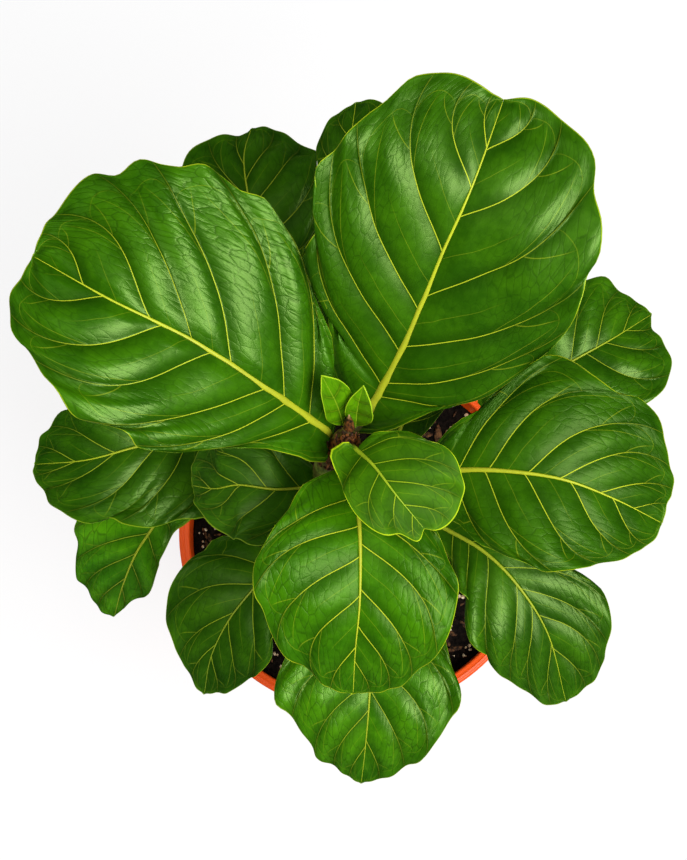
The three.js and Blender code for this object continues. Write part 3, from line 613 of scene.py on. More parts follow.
# What the names in the table mean.
# joint: height on the stem. stalk: radius of the petiole. midrib: half its width at the base, and how fast
# it tapers. fold, cup: how far the halves rise from the midrib, and curl. wave, waves: height and number of
# the waves. bulge: how far the blade stands up between its veins. ear: how far a lobe at its base lifts.
# rumple: how crinkled the left and right halves are. flat: for how many millimetres from the midrib it
# stays flatter. tone, matte: how light its green is, partly the leaf's own colour and partly painted light
# that makes up for how much light the leaf gets, and how dull it is. finish: its set of materials.
# rib: the midrib, from the blade's base to its tip. left, right: the edge, as (along the midrib, out from
# it). left_veins, right_veins: for each side vein, where it leaves the midrib, the share of the edge's
# length at which it ends, how far it bows, and how strong it is where that isn't 1.
# USUAL holds what most leaves share.
USUAL = dict(
    fold=0.1, cup=-0.15, wave=2, waves=5, ear=0, rumple=(0.6, 0.6), flat=14, matte=0.0, finish="leaf_dark",
)
LEAVES = [
    dict(
        name="leaf_upper_left", joint=494, stalk=2.6, midrib=(2.2, 1.1), fold=0.12, cup=-0.03, wave=1.9,
        waves=8, bulge=3.1, rumple=(0.5, 1.0), flat=9, tone_and_painted_light=1.0, matte=0.05, finish="leaf_large",
        rib=[(-19, 12, 512), (-45, 26, 543), (-78, 44, 566), (-113, 60, 576), (-149, 82, 566)],
        left=[(-7, 3), (-11, 10), (-6, 16), (3, 17), (20, 21), (40, 29), (57, 40), (72, 49), (87, 54),
              (99, 51), (108, 52), (119, 54), (128, 47), (135, 44), (145, 38), (150, 37), (158, 33),
              (167, 23), (169, 11)],
        right=[(-8, 1), (-5, 6), (2, 13), (11, 21), (18, 28.5), (30, 36.5), (44, 46), (56.5, 50.6),
               (62.5, 57.5), (70.5, 63), (81, 67), (88, 71), (96, 69), (104, 71), (115, 72), (127, 67),
               (137, 64), (148, 61), (155.5, 50.5), (165.5, 45), (170, 32), (172.5, 17.5)],
        left_veins=[(8, 0.40, 0.03), (28, 0.53, 0.14), (42, 0.65, 0.14), (75, 0.77, 0.25),
                    (101, 0.88, 0.3), (130, 0.95, 0.3)],
        right_veins=[(11, 0.46, 0.12), (30, 0.57, 0.06), (64, 0.71, 0.12), (86, 0.82, 0.2, 0.4),
                     (107, 0.92, 0.35), (141, 0.96, 0.28)],
    ),
    dict(
        name="leaf_upper_right", joint=500, stalk=2.6, midrib=(2.1, 1.1), fold=0.12, cup=-0.08, wave=1.5,
        waves=8, bulge=2.3, rumple=(0.5, 0.35), flat=11, tone_and_painted_light=0.84, matte=0.07, finish="leaf_large",
        rib=[(6, 26, 515), (19, 47, 548), (35, 81, 583), (47, 106, 600), (61, 145, 600)],
        left=[(-9, 9), (-1, 23), (16, 31), (28, 34.5), (43, 40), (54, 50), (70, 58), (78, 55), (92, 60),
              (104, 66), (114, 62), (128, 59), (139, 54), (148, 48.5), (154.5, 45), (163, 40), (169, 29),
              (170.5, 19), (168.5, 9)],
        right=[(-10, 1), (-20, 0), (-26, 0), (-27, 4), (-20, 8), (-12, 13), (-4, 17), (10, 23), (21, 30),
               (29, 36), (37, 39), (47, 47), (64, 57), (77, 63), (92, 65), (105, 64), (112, 62),
               (120, 63), (129, 59), (139, 51), (152, 47), (157, 42.5), (164, 32), (168, 23), (171, 12)],
        left_veins=[(8, 0.48, 0.18), (33, 0.62, 0.16), (59, 0.7, 0.12), (91, 0.87, 0.28),
                    (124, 0.94, 0.34), (143, 0.98, 0.18)],
        right_veins=[(1, 0.46, 0.17), (11, 0.55, 0.07), (37, 0.65, 0.14), (67, 0.78, 0.1),
                     (110, 0.9, 0.29), (142, 0.95, 0.29)],
    ),
    dict(
        name="leaf_right", joint=466, stalk=2.4, midrib=(1.7, 1.3), bulge=1.8, rumple=(0.8, 0.8), flat=16,
        tone_and_painted_light=0.78, matte=0.09, finish="leaf_large_dull",
        rib=[(32, -4, 478), (59, -5, 492), (92, -10, 498), (117, -18, 490), (142, -28, 474)],
        left=[(-3, 8), (2, 13), (10, 20), (18, 24), (25, 28), (32, 40), (40, 47), (46, 55), (54, 58),
              (61, 56), (68, 51), (78, 47), (88, 49), (99, 45), (106, 34), (115, 26), (122, 18),
              (122, 8)],
        right=[(-1, 11), (7, 21), (19, 27), (28, 35), (35, 37), (44, 40), (53, 42), (69, 44), (79, 41),
               (87, 37), (105, 27), (114, 19), (123, 9)],
        left_veins=[(15, 0.47, 0.07), (30, 0.62, 0.25), (49, 0.76, 0.25), (64, 0.85, 0.25),
                    (85, 0.91, 0.15), (105, 0.95, 0.1, 0.6)],
        right_veins=[(12, 0.36, 0.17), (28, 0.58, 0.25), (47, 0.75, 0.3), (69, 0.85, 0.24),
                     (92, 0.92, 0.23)],
    ),
    dict(
        name="leaf_lower_right", joint=350, stalk=2.2, midrib=(1.4, 1.4), bulge=2.1, rumple=(0.7, 0.6),
        flat=16, tone_and_painted_light=1.16, matte=0.04,
        rib=[(36, -15, 368), (62, -32, 381), (78, -48, 381), (94, -71, 370), (106, -106, 342)],
        left=[(-2, 5), (9, 9), (35, 15), (52, 23), (71, 28), (83, 35), (96, 32), (109, 26), (115, 24),
              (123, 17), (131, 7)],
        right=[(-3, 3), (9, 6), (21, 13), (28, 19), (39, 24), (46, 24), (54, 32), (65, 37), (73, 36),
               (82, 33), (93, 33), (109, 26), (122, 17), (131, 9)],
        left_veins=[(25, 0.45, 0.1), (46, 0.63, 0.12), (60, 0.74, 0.1), (77, 0.84, 0.22),
                    (98, 0.92, 0.15)],
        right_veins=[(14, 0.25, 0.08), (24, 0.4, 0.09), (36, 0.65, 0.2), (57, 0.78, 0.14),
                     (70, 0.88, 0.16), (95, 0.95, 0.1)],
    ),
    dict(
        name="leaf_front", joint=482, stalk=2.4, midrib=(1.55, 1.6), bulge=1.8, rumple=(0.8, 0.9), flat=24,
        tone_and_painted_light=1.2, matte=0.06, finish="leaf_large_dull",
        rib=[(-5, -6, 498), (-2, -36, 512), (-2, -68, 508), (-4, -90, 494), (-5, -109, 474)],
        left=[(-1, 6), (10, 21), (27, 31), (38, 37), (48, 41), (56, 45), (63, 45), (74, 43), (86, 39),
              (99, 32), (108, 25), (114, 17), (118, 8)],
        right=[(-2, 6), (1, 14), (8, 25), (15, 30), (31, 40), (40, 45), (49, 49), (62, 49), (73, 45),
               (86, 40), (94, 34), (101, 26), (109, 18), (117, 8)],
        left_veins=[(8, 0.36, 0.05), (24, 0.51, 0.06), (39, 0.68, 0.22), (60, 0.81, 0.23),
                    (78, 0.89, 0.2), (98, 0.95, 0.1, 0.6)],
        right_veins=[(15, 0.4, 0.14), (31, 0.53, 0.25), (45, 0.72, 0.31), (63, 0.87, 0.32),
                     (90, 0.93, 0.13)],
    ),
    dict(
        name="leaf_young", joint=512, stalk=1.6, midrib=(1.15, 1.3), fold=0.14, cup=0.2, wave=1.6, waves=4,
        bulge=1.5, ear=7.0, rumple=(0.3, 0.3), flat=12, tone_and_painted_light=0.92, matte=0.08, finish="leaf_young",
        rib=[(-3, -1, 528), (4, -9, 538), (14, -23, 544), (27, -38, 538)],
        left=[(-2, 3), (0, 9), (8, 15), (16, 23), (24, 26), (29, 30), (36, 31), (45, 28), (54, 22),
              (59, 11), (58, 4)],
        right=[(-6, 1), (-4, 6), (0, 11), (4, 13.5), (9, 15.5), (22, 19), (31, 20), (41, 17), (48, 10),
               (56, 6)],
        left_veins=[(2, 0.43, 0.1), (14, 0.63, 0.18), (25, 0.75, 0.12), (39, 0.87, 0.2)],
        right_veins=[(5, 0.45, 0.15), (20, 0.68, 0.15), (33, 0.81, 0.17), (45, 0.91, 0.1)],
    ),
    dict(
        name="leaf_bottom", joint=292, stalk=2.2, midrib=(1.3, 1.5), bulge=2.1, flat=24, tone_and_painted_light=1.72,
        rib=[(4, -49, 318), (5, -78, 329), (4, -105, 326), (2, -129, 312), (0, -147, 292)],
        left=[(-2, 9), (10, 27), (22, 37), (31, 40), (38, 42), (48, 47), (53, 48), (59, 47), (64, 44),
              (77, 37), (90, 29), (104, 14), (110, 5)],
        right=[(-4, 9), (8, 26), (24, 40), (37, 45), (45, 48), (54, 50), (62, 49), (67, 43), (79, 35),
               (87, 28), (95, 25), (102, 17), (110, 5)],
        left_veins=[(6, 0.38, 0.1), (20, 0.57, 0.27), (37, 0.73, 0.28), (52, 0.83, 0.12),
                    (81, 0.93, 0.12)],
        right_veins=[(10, 0.45, 0.15), (26, 0.64, 0.28), (46, 0.8, 0.25), (63, 0.89, 0.2),
                     (85, 0.95, 0.1)],
    ),
    dict(
        name="leaf_lower_left", joint=330, stalk=2.2, midrib=(0.85, 1.4), waves=4, bulge=1.9, tone_and_painted_light=0.78,
        matte=0.14, finish="leaf_dark_dull",
        rib=[(-40, -29, 352), (-56, -49, 361), (-68, -64, 358), (-78, -82, 344), (-83, -101, 320)],
        left=[(1, 11), (14, 21), (28, 25), (43, 24), (54, 29), (69, 26), (80, 23), (88, 19), (95, 12),
              (100, 5)],
        right=[(-1, 7), (8, 13), (12, 22), (19, 32), (27, 32), (37, 35), (52, 34), (64, 29), (70, 22),
               (85, 12), (98, 4)],
        left_veins=[(12, 0.45, 0.13), (27, 0.72, 0.19), (48, 0.86, 0.18), (72, 0.94, 0.1)],
        right_veins=[(13, 0.45, 0.2), (24, 0.64, 0.19), (43, 0.79, 0.12), (64, 0.9, 0.1)],
    ),
    dict(
        name="leaf_left", joint=438, stalk=2.2, midrib=(1.0, 1.4), wave=1.6, waves=4, bulge=1.7, tone_and_painted_light=1.16,
        matte=0.16,
        rib=[(-22, -8, 456), (-42, -11, 467), (-60, -9, 468), (-71, -10, 462), (-83, -7, 450)],
        left=[(1, 9), (11, 18), (21, 25), (30, 28), (37, 26), (46, 26), (52, 21), (57, 14), (64, 8),
              (69, 3)],
        right=[(0, 8), (14, 20), (34, 25), (44, 24), (56, 24), (64, 23), (71, 18), (73, 9)],
        left_veins=[(10, 0.5, 0.1), (23, 0.67, 0.11), (40, 0.84, 0.16), (56, 0.93, 0.1)],
        right_veins=[(10, 0.52, 0.17), (27, 0.73, 0.13), (41, 0.88, 0.2), (57, 0.95, 0.1)],
    ),
    dict(
        name="leaf_far_left", joint=372, stalk=2.2, midrib=(1.2, 1.4), bulge=2.1, tone_and_painted_light=0.98, matte=0.04,
        rib=[(-74, 28, 402), (-94, 21, 412), (-112, 17, 416), (-137, 11, 412), (-166, 11, 394)],
        left=[(-1, 11), (0, 25), (9, 36), (21, 42), (30, 40), (39, 41), (48, 41), (58, 36), (63, 31),
              (71, 32), (82, 25), (91, 20), (97, 13), (102, 6)],
        right=[(-1, 8), (14, 19), (37, 24), (55, 28), (79, 27), (87, 26), (92, 18), (99, 13), (102, 6)],
        left_veins=[(8, 0.42, 0.2), (16, 0.61, 0.2), (31, 0.77, 0.14), (54, 0.9, 0.08), (76, 0.96, 0.05)],
        right_veins=[(14, 0.45, 0.12), (31, 0.65, 0.14), (54, 0.83, 0.2), (76, 0.93, 0.1)],
    ),
    dict(
        name="leaf_hanging", joint=262, stalk=2, midrib=(1.1, 1.4), cup=-0.1, wave=1.6, waves=4, bulge=1.7,
        tone_and_painted_light=2.55,
        rib=[(-101, 6, 322), (-109, -11, 327), (-119, -25, 319), (-128, -40, 296), (-136, -55, 258)],
        left=[(-3, 9), (3, 16), (12, 15), (19, 11), (30, 13), (44, 14), (55, 16), (70, 13), (81, 7),
              (94, 4)],
        right=[(-3, 9), (8, 24), (25, 35), (41, 36), (48, 35), (55, 31), (67, 29), (77, 26.5), (91, 22),
               (102, 12), (110, 6)],
        left_veins=[(14, 0.3, 0.1), (27, 0.45, 0.12), (48, 0.68, 0.1), (72, 0.86, 0.1)],
        right_veins=[(15, 0.47, 0.15), (26, 0.63, 0.12), (40, 0.82, 0.15), (62, 0.91, 0.08)],
    ),
    dict(
        name="leaf_back_left", joint=394, stalk=2.2, midrib=(1.2, 1.4), waves=4, bulge=1.9, tone_and_painted_light=1.1,
        rib=[(-48, 95, 432), (-52, 117, 447), (-57, 140, 449), (-59, 160, 441), (-56, 177, 428)],
        left=[(0, 9), (13, 24), (30, 33), (49, 35), (66, 31), (73, 28), (79, 18), (86, 5)],
        right=[(0, 7), (14, 20), (19, 25), (31, 32), (43, 35), (60, 36), (75, 36), (88, 33), (92, 20),
               (96, 8)],
        left_veins=[(16, 0.39, 0.1), (33, 0.65, 0.07), (46, 0.8, 0.05), (66, 0.92, 0.1)],
        right_veins=[(10, 0.34, 0.2), (24, 0.54, 0.25), (40, 0.81, 0.25), (56, 0.92, 0.2)],
    ),
    dict(
        name="leaf_back", joint=306, stalk=2.2, midrib=(1.4, 1.4), bulge=1.9, tone_and_painted_light=0.85, matte=0.05,
        rib=[(-6, 89, 346), (-6, 118, 362), (-6, 149, 368), (-6, 182, 364), (-3, 212, 350)],
        left=[(-8, 8), (-5, 19), (12, 28), (33, 31), (57, 28), (75, 18), (89, 17), (98, 18), (109, 15),
              (124, 7)],
        right=[(-2, 11), (12, 24), (33, 29), (59, 27), (86, 26), (113, 22), (130, 16), (133, 7)],
        left_veins=[(15, 0.35, 0.1), (35, 0.5, 0.12), (58, 0.68, 0.15), (82, 0.82, 0.2),
                    (105, 0.92, 0.15)],
        right_veins=[(15, 0.35, 0.1), (35, 0.5, 0.12), (58, 0.68, 0.15), (82, 0.82, 0.2),
                     (105, 0.92, 0.15)],
    ),
    dict(
        name="leaf_back_right", joint=320, stalk=2.2, midrib=(1.3, 1.4), waves=4, bulge=2.1, tone_and_painted_light=1.22,
        rib=[(72, 50, 348), (90, 59, 359), (109, 69, 365), (130, 81, 363), (153, 97, 350)],
        left=[(-9, 1), (-10, 5), (-5, 12), (12, 25), (38, 35), (57, 38), (75, 34.5), (87, 30), (90, 22),
              (97, 12)],
        right=[(6, 16), (24, 29), (42, 36), (58, 38), (72, 38), (83, 34), (91, 27), (94, 17), (95, 7)],
        left_veins=[(14, 0.3, 0.05), (30, 0.49, 0), (45, 0.72, 0.1), (60, 0.86, 0.2), (78, 0.94, 0.1)],
        right_veins=[(14, 0.4, 0.1), (34, 0.58, 0.15), (54, 0.74, 0.25), (66, 0.86, 0.18),
                     (80, 0.94, 0.1)],
    ),
    dict(
        name="leaf_low_inner", joint=384, stalk=1.8, midrib=(1.1, 1.4), wave=1.4, waves=4, bulge=1.5,
        tone_and_painted_light=0.8, matte=0.05,
        rib=[(17, 21, 414), (24, 39, 427), (31, 65, 437), (36, 88, 434)],
        left=[(1, 6), (17, 18), (44, 23), (66, 19), (74, 7)],
        right=[(0, 7), (7, 11), (24, 17), (41, 24), (60, 23), (74, 12)],
        left_veins=[(10, 0.35, 0.1), (25, 0.58, 0.12), (42, 0.78, 0.15), (58, 0.91, 0.1)],
        right_veins=[(10, 0.35, 0.1), (25, 0.58, 0.12), (42, 0.78, 0.15), (58, 0.91, 0.1)],
    ),
]


class Blade:
    """The bent face that a blade lies in, reached by (along the midrib, out from it)."""

    def __init__(self, leaf):
        self.leaf = leaf
        self.line = smooth_line(leaf["rib"])
        self.run = lengths(self.line)
        self.length = self.run[-1]
        self.heading = unit(np.gradient(self.line, self.run, axis=0))

    def spot(self, along, out, lift):
        """Points lifted off the face by so much, and the way that is up from it."""
        at = np.clip(along, 0, self.length)
        heading = unit(at_lengths(self.heading, self.run, at))
        side = unit(np.cross(UP, heading))
        above = np.cross(heading, side)
        rise = self.leaf["fold"] * np.abs(out) + self.leaf["cup"] * out ** 2 / 100 + lift
        place = at_lengths(self.line, self.run, at) + heading * (along - at)[..., None]
        return place + side * out[..., None] + above * rise[..., None], above


def midrib_half(leaf, along, length):
    """Half the midrib's width, from the base of the blade to its tip."""
    half, taper = leaf["midrib"]
    left = np.clip(1 - along / length, 0, 1)
    return RIB_TIP + (half - RIB_TIP) * left ** taper


def ease(share):
    """Smooth from 0 to 1."""
    share = np.clip(share, 0, 1)
    return share * share * (3 - 2 * share)


# Heights of these small forms are shares of the leaf's bulge, and widths are shares of the way out.
VEIN_BOW = (2.9, 1.4)  # the height of a side vein's curve, and how far out it lies
UNDER_RIB = 0.45  # the blade starts at this share of the midrib's half width,
START_LIMIT = 0.25  # but at most this share of the way out
LEAST_COLUMNS = 12
ARCH = (0.66, 0.08, 0.2)  # the loop from a vein to the next: how far out it lies, its step and its bow
SWELL_FADE = 0.34  # the bulge sinks to the loop over this width
WELT = (0.14, 0.10, 0.45)  # the welt outside the loop: the widths of its two slopes, and its height
LOBES = (3, 0.28)  # the lobes between two veins: their number, and their height
GAP_LIMITS = (0.5, 40)  # the least and the most that counts as the veins' spacing
BULGE_WIDTH = 17  # spacing of the veins at which the bulge is full
WAVE_POWER = 3  # how much steeper the waves get towards the edge
FRILL = 0.45  # how far the edge dips at the veins and rises between them
EAR = (0.15, 0.12)  # where on the edge the lifted lobe lies, and its width
UNEVEN = 0.5  # height of the blade's broad unevenness, in millimetres, like the sizes below
RIDGE = (0.2, 0.7)  # how far a side vein stands above and below the blade
RIDGE_WIDTH = 0.8  # half its width
RIDGE_TAPER = 0.7  # how much of it is gone at the edge
EDGE_ROUND = 0.2  # how far the middle of the edge stands out


class HalfBlade:
    """One half of a blade as a grid: its rows run out along the side veins and between them."""

    def __init__(self, leaf, blade, hand):
        self.leaf, self.blade, self.hand = leaf, blade, hand
        self.edge = leaf["left"] if hand > 0 else leaf["right"]
        self.outline = smooth_line([(0, 0), *self.edge, (blade.length, 0)])
        self.lay_rows(leaf["left_veins"] if hand > 0 else leaf["right_veins"])
        self.lay_points()
        self.measure_gaps()

    def lay_rows(self, veins):
        """tau counts the veins: a row with 2 is the second one, and one with 2.5 half way to the third."""
        knots = np.arange(len(veins) + 2)
        self.tau = np.array([k + f for k in knots[:-1] for f in BETWEEN][1:])[:, None]
        self.between = self.tau % 1
        self.start, self.share, self.bow = (
            np.interp(self.tau, knots, [0, *(vein[k] for vein in veins), last])
            for k, last in ((0, self.blade.length), (1, 1), (2, 0)))
        self.strong = np.array([1, *(vein[3] if len(vein) > 3 else 1 for vein in veins), 1])

    def lay_points(self):
        """How far each point lies along the midrib and away from it, and its share of the way out."""
        run = lengths(self.outline)
        stop = at_lengths(self.outline, run, self.share[:, 0] * run[-1])
        reach = stop - np.column_stack([self.start, 0 * self.start])
        self.span = np.linalg.norm(reach, axis=1)[:, None]
        inner = UNDER_RIB * midrib_half(self.leaf, self.start, self.blade.length)
        near = np.minimum(inner / np.maximum(stop[:, 1:], 0.5), START_LIMIT)
        self.columns = max(LEAST_COLUMNS, round(self.span.max() / COLUMN))
        self.out = near + (1 - near) * np.linspace(0, 1, self.columns + 1)
        curve = VEIN_BOW[0] * self.out ** VEIN_BOW[1] * (1 - self.out) * self.bow
        self.along = self.start + reach[:, :1] * self.out - reach[:, 1:] * curve
        self.away = reach[:, 1:] * self.out + reach[:, :1] * curve

    def measure_gaps(self):
        """The spacing of the side veins at each point, and its distance from the nearest one."""
        tau, along, away = self.tau[:, 0], self.along, self.away
        across = np.stack([np.gradient(along, tau, axis=0), np.gradient(away, tau, axis=0)], -1)
        down = np.stack([np.gradient(along, axis=1), np.gradient(away, axis=1)], -1)
        area = np.abs(across[..., 0] * down[..., 1] - across[..., 1] * down[..., 0])
        self.gap = np.clip(area / np.linalg.norm(down, axis=-1), *GAP_LIMITS)
        self.from_vein = np.minimum(self.between, 1 - self.between) * self.gap
        self.strength = self.strong[np.round(self.tau).astype(int)]
        self.weak = ((1 - self.strong[np.floor(self.tau).astype(int)]) * (1 - self.between)
                     + (1 - self.strong[np.ceil(self.tau).astype(int)]) * self.between)
        late = np.sin(np.pi * self.between ** 0.6) ** 0.6
        self.arch = ARCH[0] + ARCH[1] * self.between + ARCH[2] * late

    def relief(self):
        """How far the blade stands above its bent face: its waves, its frilled edge and its bulges."""
        leaf, hand, out, between = self.leaf, self.hand, self.out, self.between
        calm = np.sin(np.pi * self.share) ** 0.4
        phase = 2 * np.pi * leaf["waves"] * self.share + hand * 0.9 + leaf["joint"]
        ripple = np.sin(phase) + 0.3 * np.sin(1.73 * phase + 1)
        wave = leaf["wave"] * calm * out ** WAVE_POWER * ripple
        frill = -FRILL * leaf["bulge"] * np.cos(2 * np.pi * between) * calm * out ** 5
        crown = self.weak + (1 - self.weak) * (1 - np.abs(2 * between - 1) ** 2.2)
        swell = ease((self.arch - out) / SWELL_FADE) * np.clip(out * self.span / leaf["flat"], 0, 1) ** 0.7
        welt = ease((out - self.arch) / WELT[0]) * ease((1 - out) / WELT[1]) * WELT[2]
        outside = np.sin(np.pi * np.clip((out - 0.5) / 0.48, 0, 1))
        lobes = np.sin(LOBES[0] * np.pi * between) ** 2 * outside * LOBES[1]
        bulge = leaf["bulge"] * np.clip(self.gap / BULGE_WIDTH, 0, 1.2) * (crown * swell + welt + lobes)
        ear = leaf["ear"] * (hand < 0) * np.exp(-((self.share - EAR[0]) / EAR[1]) ** 2) * out ** 4
        drift = np.sin(self.along * 0.13 + leaf["joint"]) * np.sin(self.away * 0.17 + hand)
        uneven = ear + UNEVEN * drift * np.clip(self.away / 12, 0, 1)
        return wave + frill + bulge + uneven

    def rings(self):
        """The upper face, a rounded edge and the lower face, row by row."""
        middle, above = self.blade.spot(self.along, self.hand * self.away, self.relief())
        ridge = self.strength * (1 - RIDGE_TAPER * self.out)
        ridge = ridge * np.clip(1 - self.from_vein / RIDGE_WIDTH, 0, 1)
        top = middle + above * (BLADE / 2 + RIDGE[0] * ridge)[..., None]
        bottom = middle - above * (BLADE / 2 + RIDGE[1] * ridge)[..., None]
        rim = middle[:, -1] + EDGE_ROUND * unit(middle[:, -1] - middle[:, -2])
        return np.concatenate([top, rim[:, None], bottom[:, ::-1]], 1)

    def fields(self):
        """What the materials read at each point.

        vein: the number of the vein before it, the distance along it, and the veins' spacing. place: the
        distance to the edge, the share of the way out, and the vein's strength. loop: the distance past the
        loop that joins a vein's end to the next vein, how weak that is, and the crinkle. tone: how light
        the green is, partly the leaf's own colour and partly painted light for how much light the leaf
        gets, the share of the way out, and how dull.
        """
        leaf, same = self.leaf, 0 * self.out
        fields = {
            "vein": (self.tau + same, self.out * self.span, self.gap),
            "place": ((1 - self.out) * self.span, self.out, self.strength + same),
            "loop": ((self.out - self.arch) * self.span, self.weak + same,
                     leaf["rumple"][0 if self.hand > 0 else 1] + same),
            "tone_and_painted_light": (leaf["tone_and_painted_light"] + same, self.out, leaf["matte"] + same),
        }
        around = {}
        for name, parts in fields.items():
            values = np.stack(parts, -1)
            around[name] = np.concatenate([values, values[:, -1:], values[:, ::-1]], 1)
        return around

    def charts(self):
        """Each column's two sides on the baking map: the upper face at the left, the lower beside it."""
        low, high = min(self.outline[:, 0].min(), 0), max(self.outline[:, 0].max(), self.blade.length)
        wide = 1.02 * max(out for _, out in [*self.leaf["left"], *self.leaf["right"]])
        upper = np.stack([0.23 + 0.21 * self.hand * self.away / wide,
                          0.02 + 0.96 * (self.along - low + 1) / (high - low + 2)], -1)
        lower = upper + np.array([0.46, 0])
        uv_from = np.concatenate([upper, lower[:, -1:], lower[:, ::-1]], 1)
        back = [lower[:, -1:], lower[:, -2::-1], lower[:, :1]]
        uv_to = np.concatenate([upper[:, 1:], upper[:, -1:], *back], 1)
        return uv_from, uv_to

    def add_to(self, shell):
        slots = np.array([0] * (self.columns + 1) + [1] * (self.columns + 2))
        ends = self.blade.spot(np.array([0, self.blade.length]), np.zeros(2), np.zeros(2))[0]
        shell.skin(self.rings(), ends, slots, self.hand < 0, self.fields(), *self.charts())


def stem_point(height):
    """The point of the stem's middle line at a height."""
    return stem_line[np.abs(stem_line[:, 2] - height).argmin()]


def petiole_line(leaf, blade):
    """From the stem up and outwards, ending under the blade's base in the midrib's direction."""
    base, heading = blade.line[0], blade.heading[0]
    root = stem_point(leaf["joint"])
    outward = unit((base - root) * (1, 1, 0))
    span = np.linalg.norm(base - root)
    leave = PETIOLE_LEAVE[0] * outward + PETIOLE_LEAVE[1] * UP
    t = np.linspace(0, 1, PETIOLE_STEPS)[:, None]
    a, b, c, d = root, root + leave * span * PETIOLE_BEND[0], base - heading * span * PETIOLE_BEND[1], base
    return a * (1 - t) ** 3 + 3 * b * t * (1 - t) ** 2 + 3 * c * t ** 2 * (1 - t) + d * t ** 3


def petiole_and_midrib(leaf, blade, shell, petiole=True):
    """One tapering stalk from the stem to the blade's tip."""
    along = np.linspace(0, blade.length - 1, RIB_STEPS)
    line = at_lengths(blade.line, blade.run, along)
    half = midrib_half(leaf, along, blade.length)
    scale = leaf["stalk"] / LARGE_STALK
    left = np.clip(1 - along / blade.length, 0, 1)
    over = BLADE / 2 + (RIB_LEFT[0] + RIB_OVER * left ** RIB_SINK) * scale
    under = BLADE / 2 + (RIB_LEFT[1] + RIB_UNDER * left ** RIB_SINK) * scale
    stage = 1 + along / blade.length
    if petiole:
        stretch = petiole_line(leaf, blade)[:-1]
        share = np.linspace(0, 1, len(stretch))
        swollen = leaf["stalk"] * (1 + PETIOLE_SWELL * np.exp(-(share * 7) ** 2))
        line = np.vstack([stretch - UP * PETIOLE_SINK * (1 - share[:, None] ** 4), line])
        blend = share ** 6
        half, over, under = (np.concatenate([swollen * (1 - blend) + size[0] * blend, size])
                             for size in (half, over, under))
        stage = np.concatenate([share, stage])
    heading = unit(np.gradient(line, axis=0))
    rings = tube_rings(line, np.cross(UP, heading), half, over, under, PETIOLE_SIDES)
    mark = np.broadcast_to(stage[:, None, None], rings.shape)  # 0 at the stem, 1 at the blade, 2 at its tip
    across = np.linspace(0.93, 0.99, PETIOLE_SIDES + 1)
    chart = np.stack(np.broadcast_arrays(across[None, :], 0.02 + 0.48 * stage[:, None]), -1)
    fields = {name: mark for name in ("vein", "place", "loop", "tone_and_painted_light")}
    shell.skin(rings, [line[0], line[-1]], 2, False, fields, chart[:, :-1], chart[:, 1:])


def attribute(wire, name):
    """The three numbers of a field of the mesh."""
    vector = wire.add("Attribute", {"attribute_name": name}, output=1)
    split = wire.add("SeparateXYZ", {}, {0: vector})
    node = split.output.node
    return [Wire(wire.tree, node.outputs[k]) for k in range(3)]


VEIN_HALF = 0.21  # half width of a side vein at the midrib
VEIN_TAPER = 0.10  # how much narrower it is at the edge
VEIN_SOFT = 0.11  # width of its soft border
FINE_LINE = (0.04, 0.24)  # a loop or branch is full within the first distance, and gone past the second
# Branches off a side vein: share of the way out, which vein each leaves, and how far it gets across.
FORKS = ((0.46, 0.0, 0.62), (0.58, 1.0, -0.56), (0.80, 0.0, 0.24))
NET_LONG = 4.6  # size of the net's cells along a side vein
NET_ACROSS = 6.2  # and from one side vein to the next
CELL = 2.1  # size of the cells of the finest veins


def vein_net(wire, along, across, randomness):
    """Distance from the lines of an uneven net."""
    place = wire.add("CombineXYZ", {}, {0: along, 1: across, 2: 0.0})
    return wire.add("TexVoronoi", {"voronoi_dimensions": "2D", "feature": "DISTANCE_TO_EDGE"},
                    {"Vector": place, "Scale": 1.0, "Randomness": randomness})


def vein_masks(wire):
    """Where the side veins, their loops and the fine net between them lie, each from 0 to 1."""
    tau, along, gap = attribute(wire, "vein")
    edge, out, strength = attribute(wire, "place")
    loop_gap, weak, rumple = attribute(wire, "loop")
    between = wire.math("FRACT", tau)
    number = wire.math("FLOOR", tau)
    from_vein = wire.math("MINIMUM", between, 1 - between) * gap
    half = (VEIN_HALF - out * VEIN_TAPER) * strength
    side = from_vein.fall(half * 0.4, half + VEIN_SOFT) * (1 - out.rise(0.30, 0.86) * 0.78)
    loop = wire.math("ABSOLUTE", loop_gap).fall(*FINE_LINE) * (0.8 - between * 0.55) * (1 - weak)
    branch = 0
    for start, turn, reach in FORKS:
        path = turn + wire.math("POWER", (out - start) / (1 - start) + 1e-6, 0.9) * reach
        line = (wire.math("ABSOLUTE", between - path) * gap).fall(*FINE_LINE)
        branch = line * out.rise(start, start + 0.02) * out.fall(0.76, 0.9) + branch
    short = wire.math("ABSOLUTE", between - 0.52 + wire.noise(60.0, 1.0) * 0.08) * gap
    branch = (short.fall(0.04, 0.20) * out.fall(0.25, 0.55) * 0.7 + branch) * (1 - weak)
    drift = wire.noise(90.0, 2.0) * 0.45
    across = between * gap
    net = vein_net(wire, along / NET_LONG + drift + across * 0.03,
                   across / NET_ACROSS + number * 3.7 + drift * 0.4, 0.85)
    cells = vein_net(wire, along / CELL + drift, across / CELL + number * 3.7, 0.9)
    return {"side": side, "loop": loop, "branch": branch, "net": net, "cells": cells, "edge": edge,
            "outer": 0.4 + out.rise(0.2, 0.6) * 0.6, "from_vein": from_vein, "half": half, "rumple": rumple}


LEAF_IOR = 1.45
LEAF_SHEEN = rgb(0.66, 1.0, 0.30)
LEAF_RELIEF = 0.5  # depth of the net's grooves in the upper face
PAINTED_SHADE_DARKNESS = 0.5  # how dark the painted shade in the blade's grooves and valleys is, against its deep green
PAINTED_VEIN_SHADE = (1.1, 0.3)  # painted shade beside a side vein, where it lies sunk: its width, and how dark it is
PAINTED_VALLEY_SHADE = (0.5, 7.0, 0.45)  # painted shade in the valley along it: full here, gone here, and how dark it is
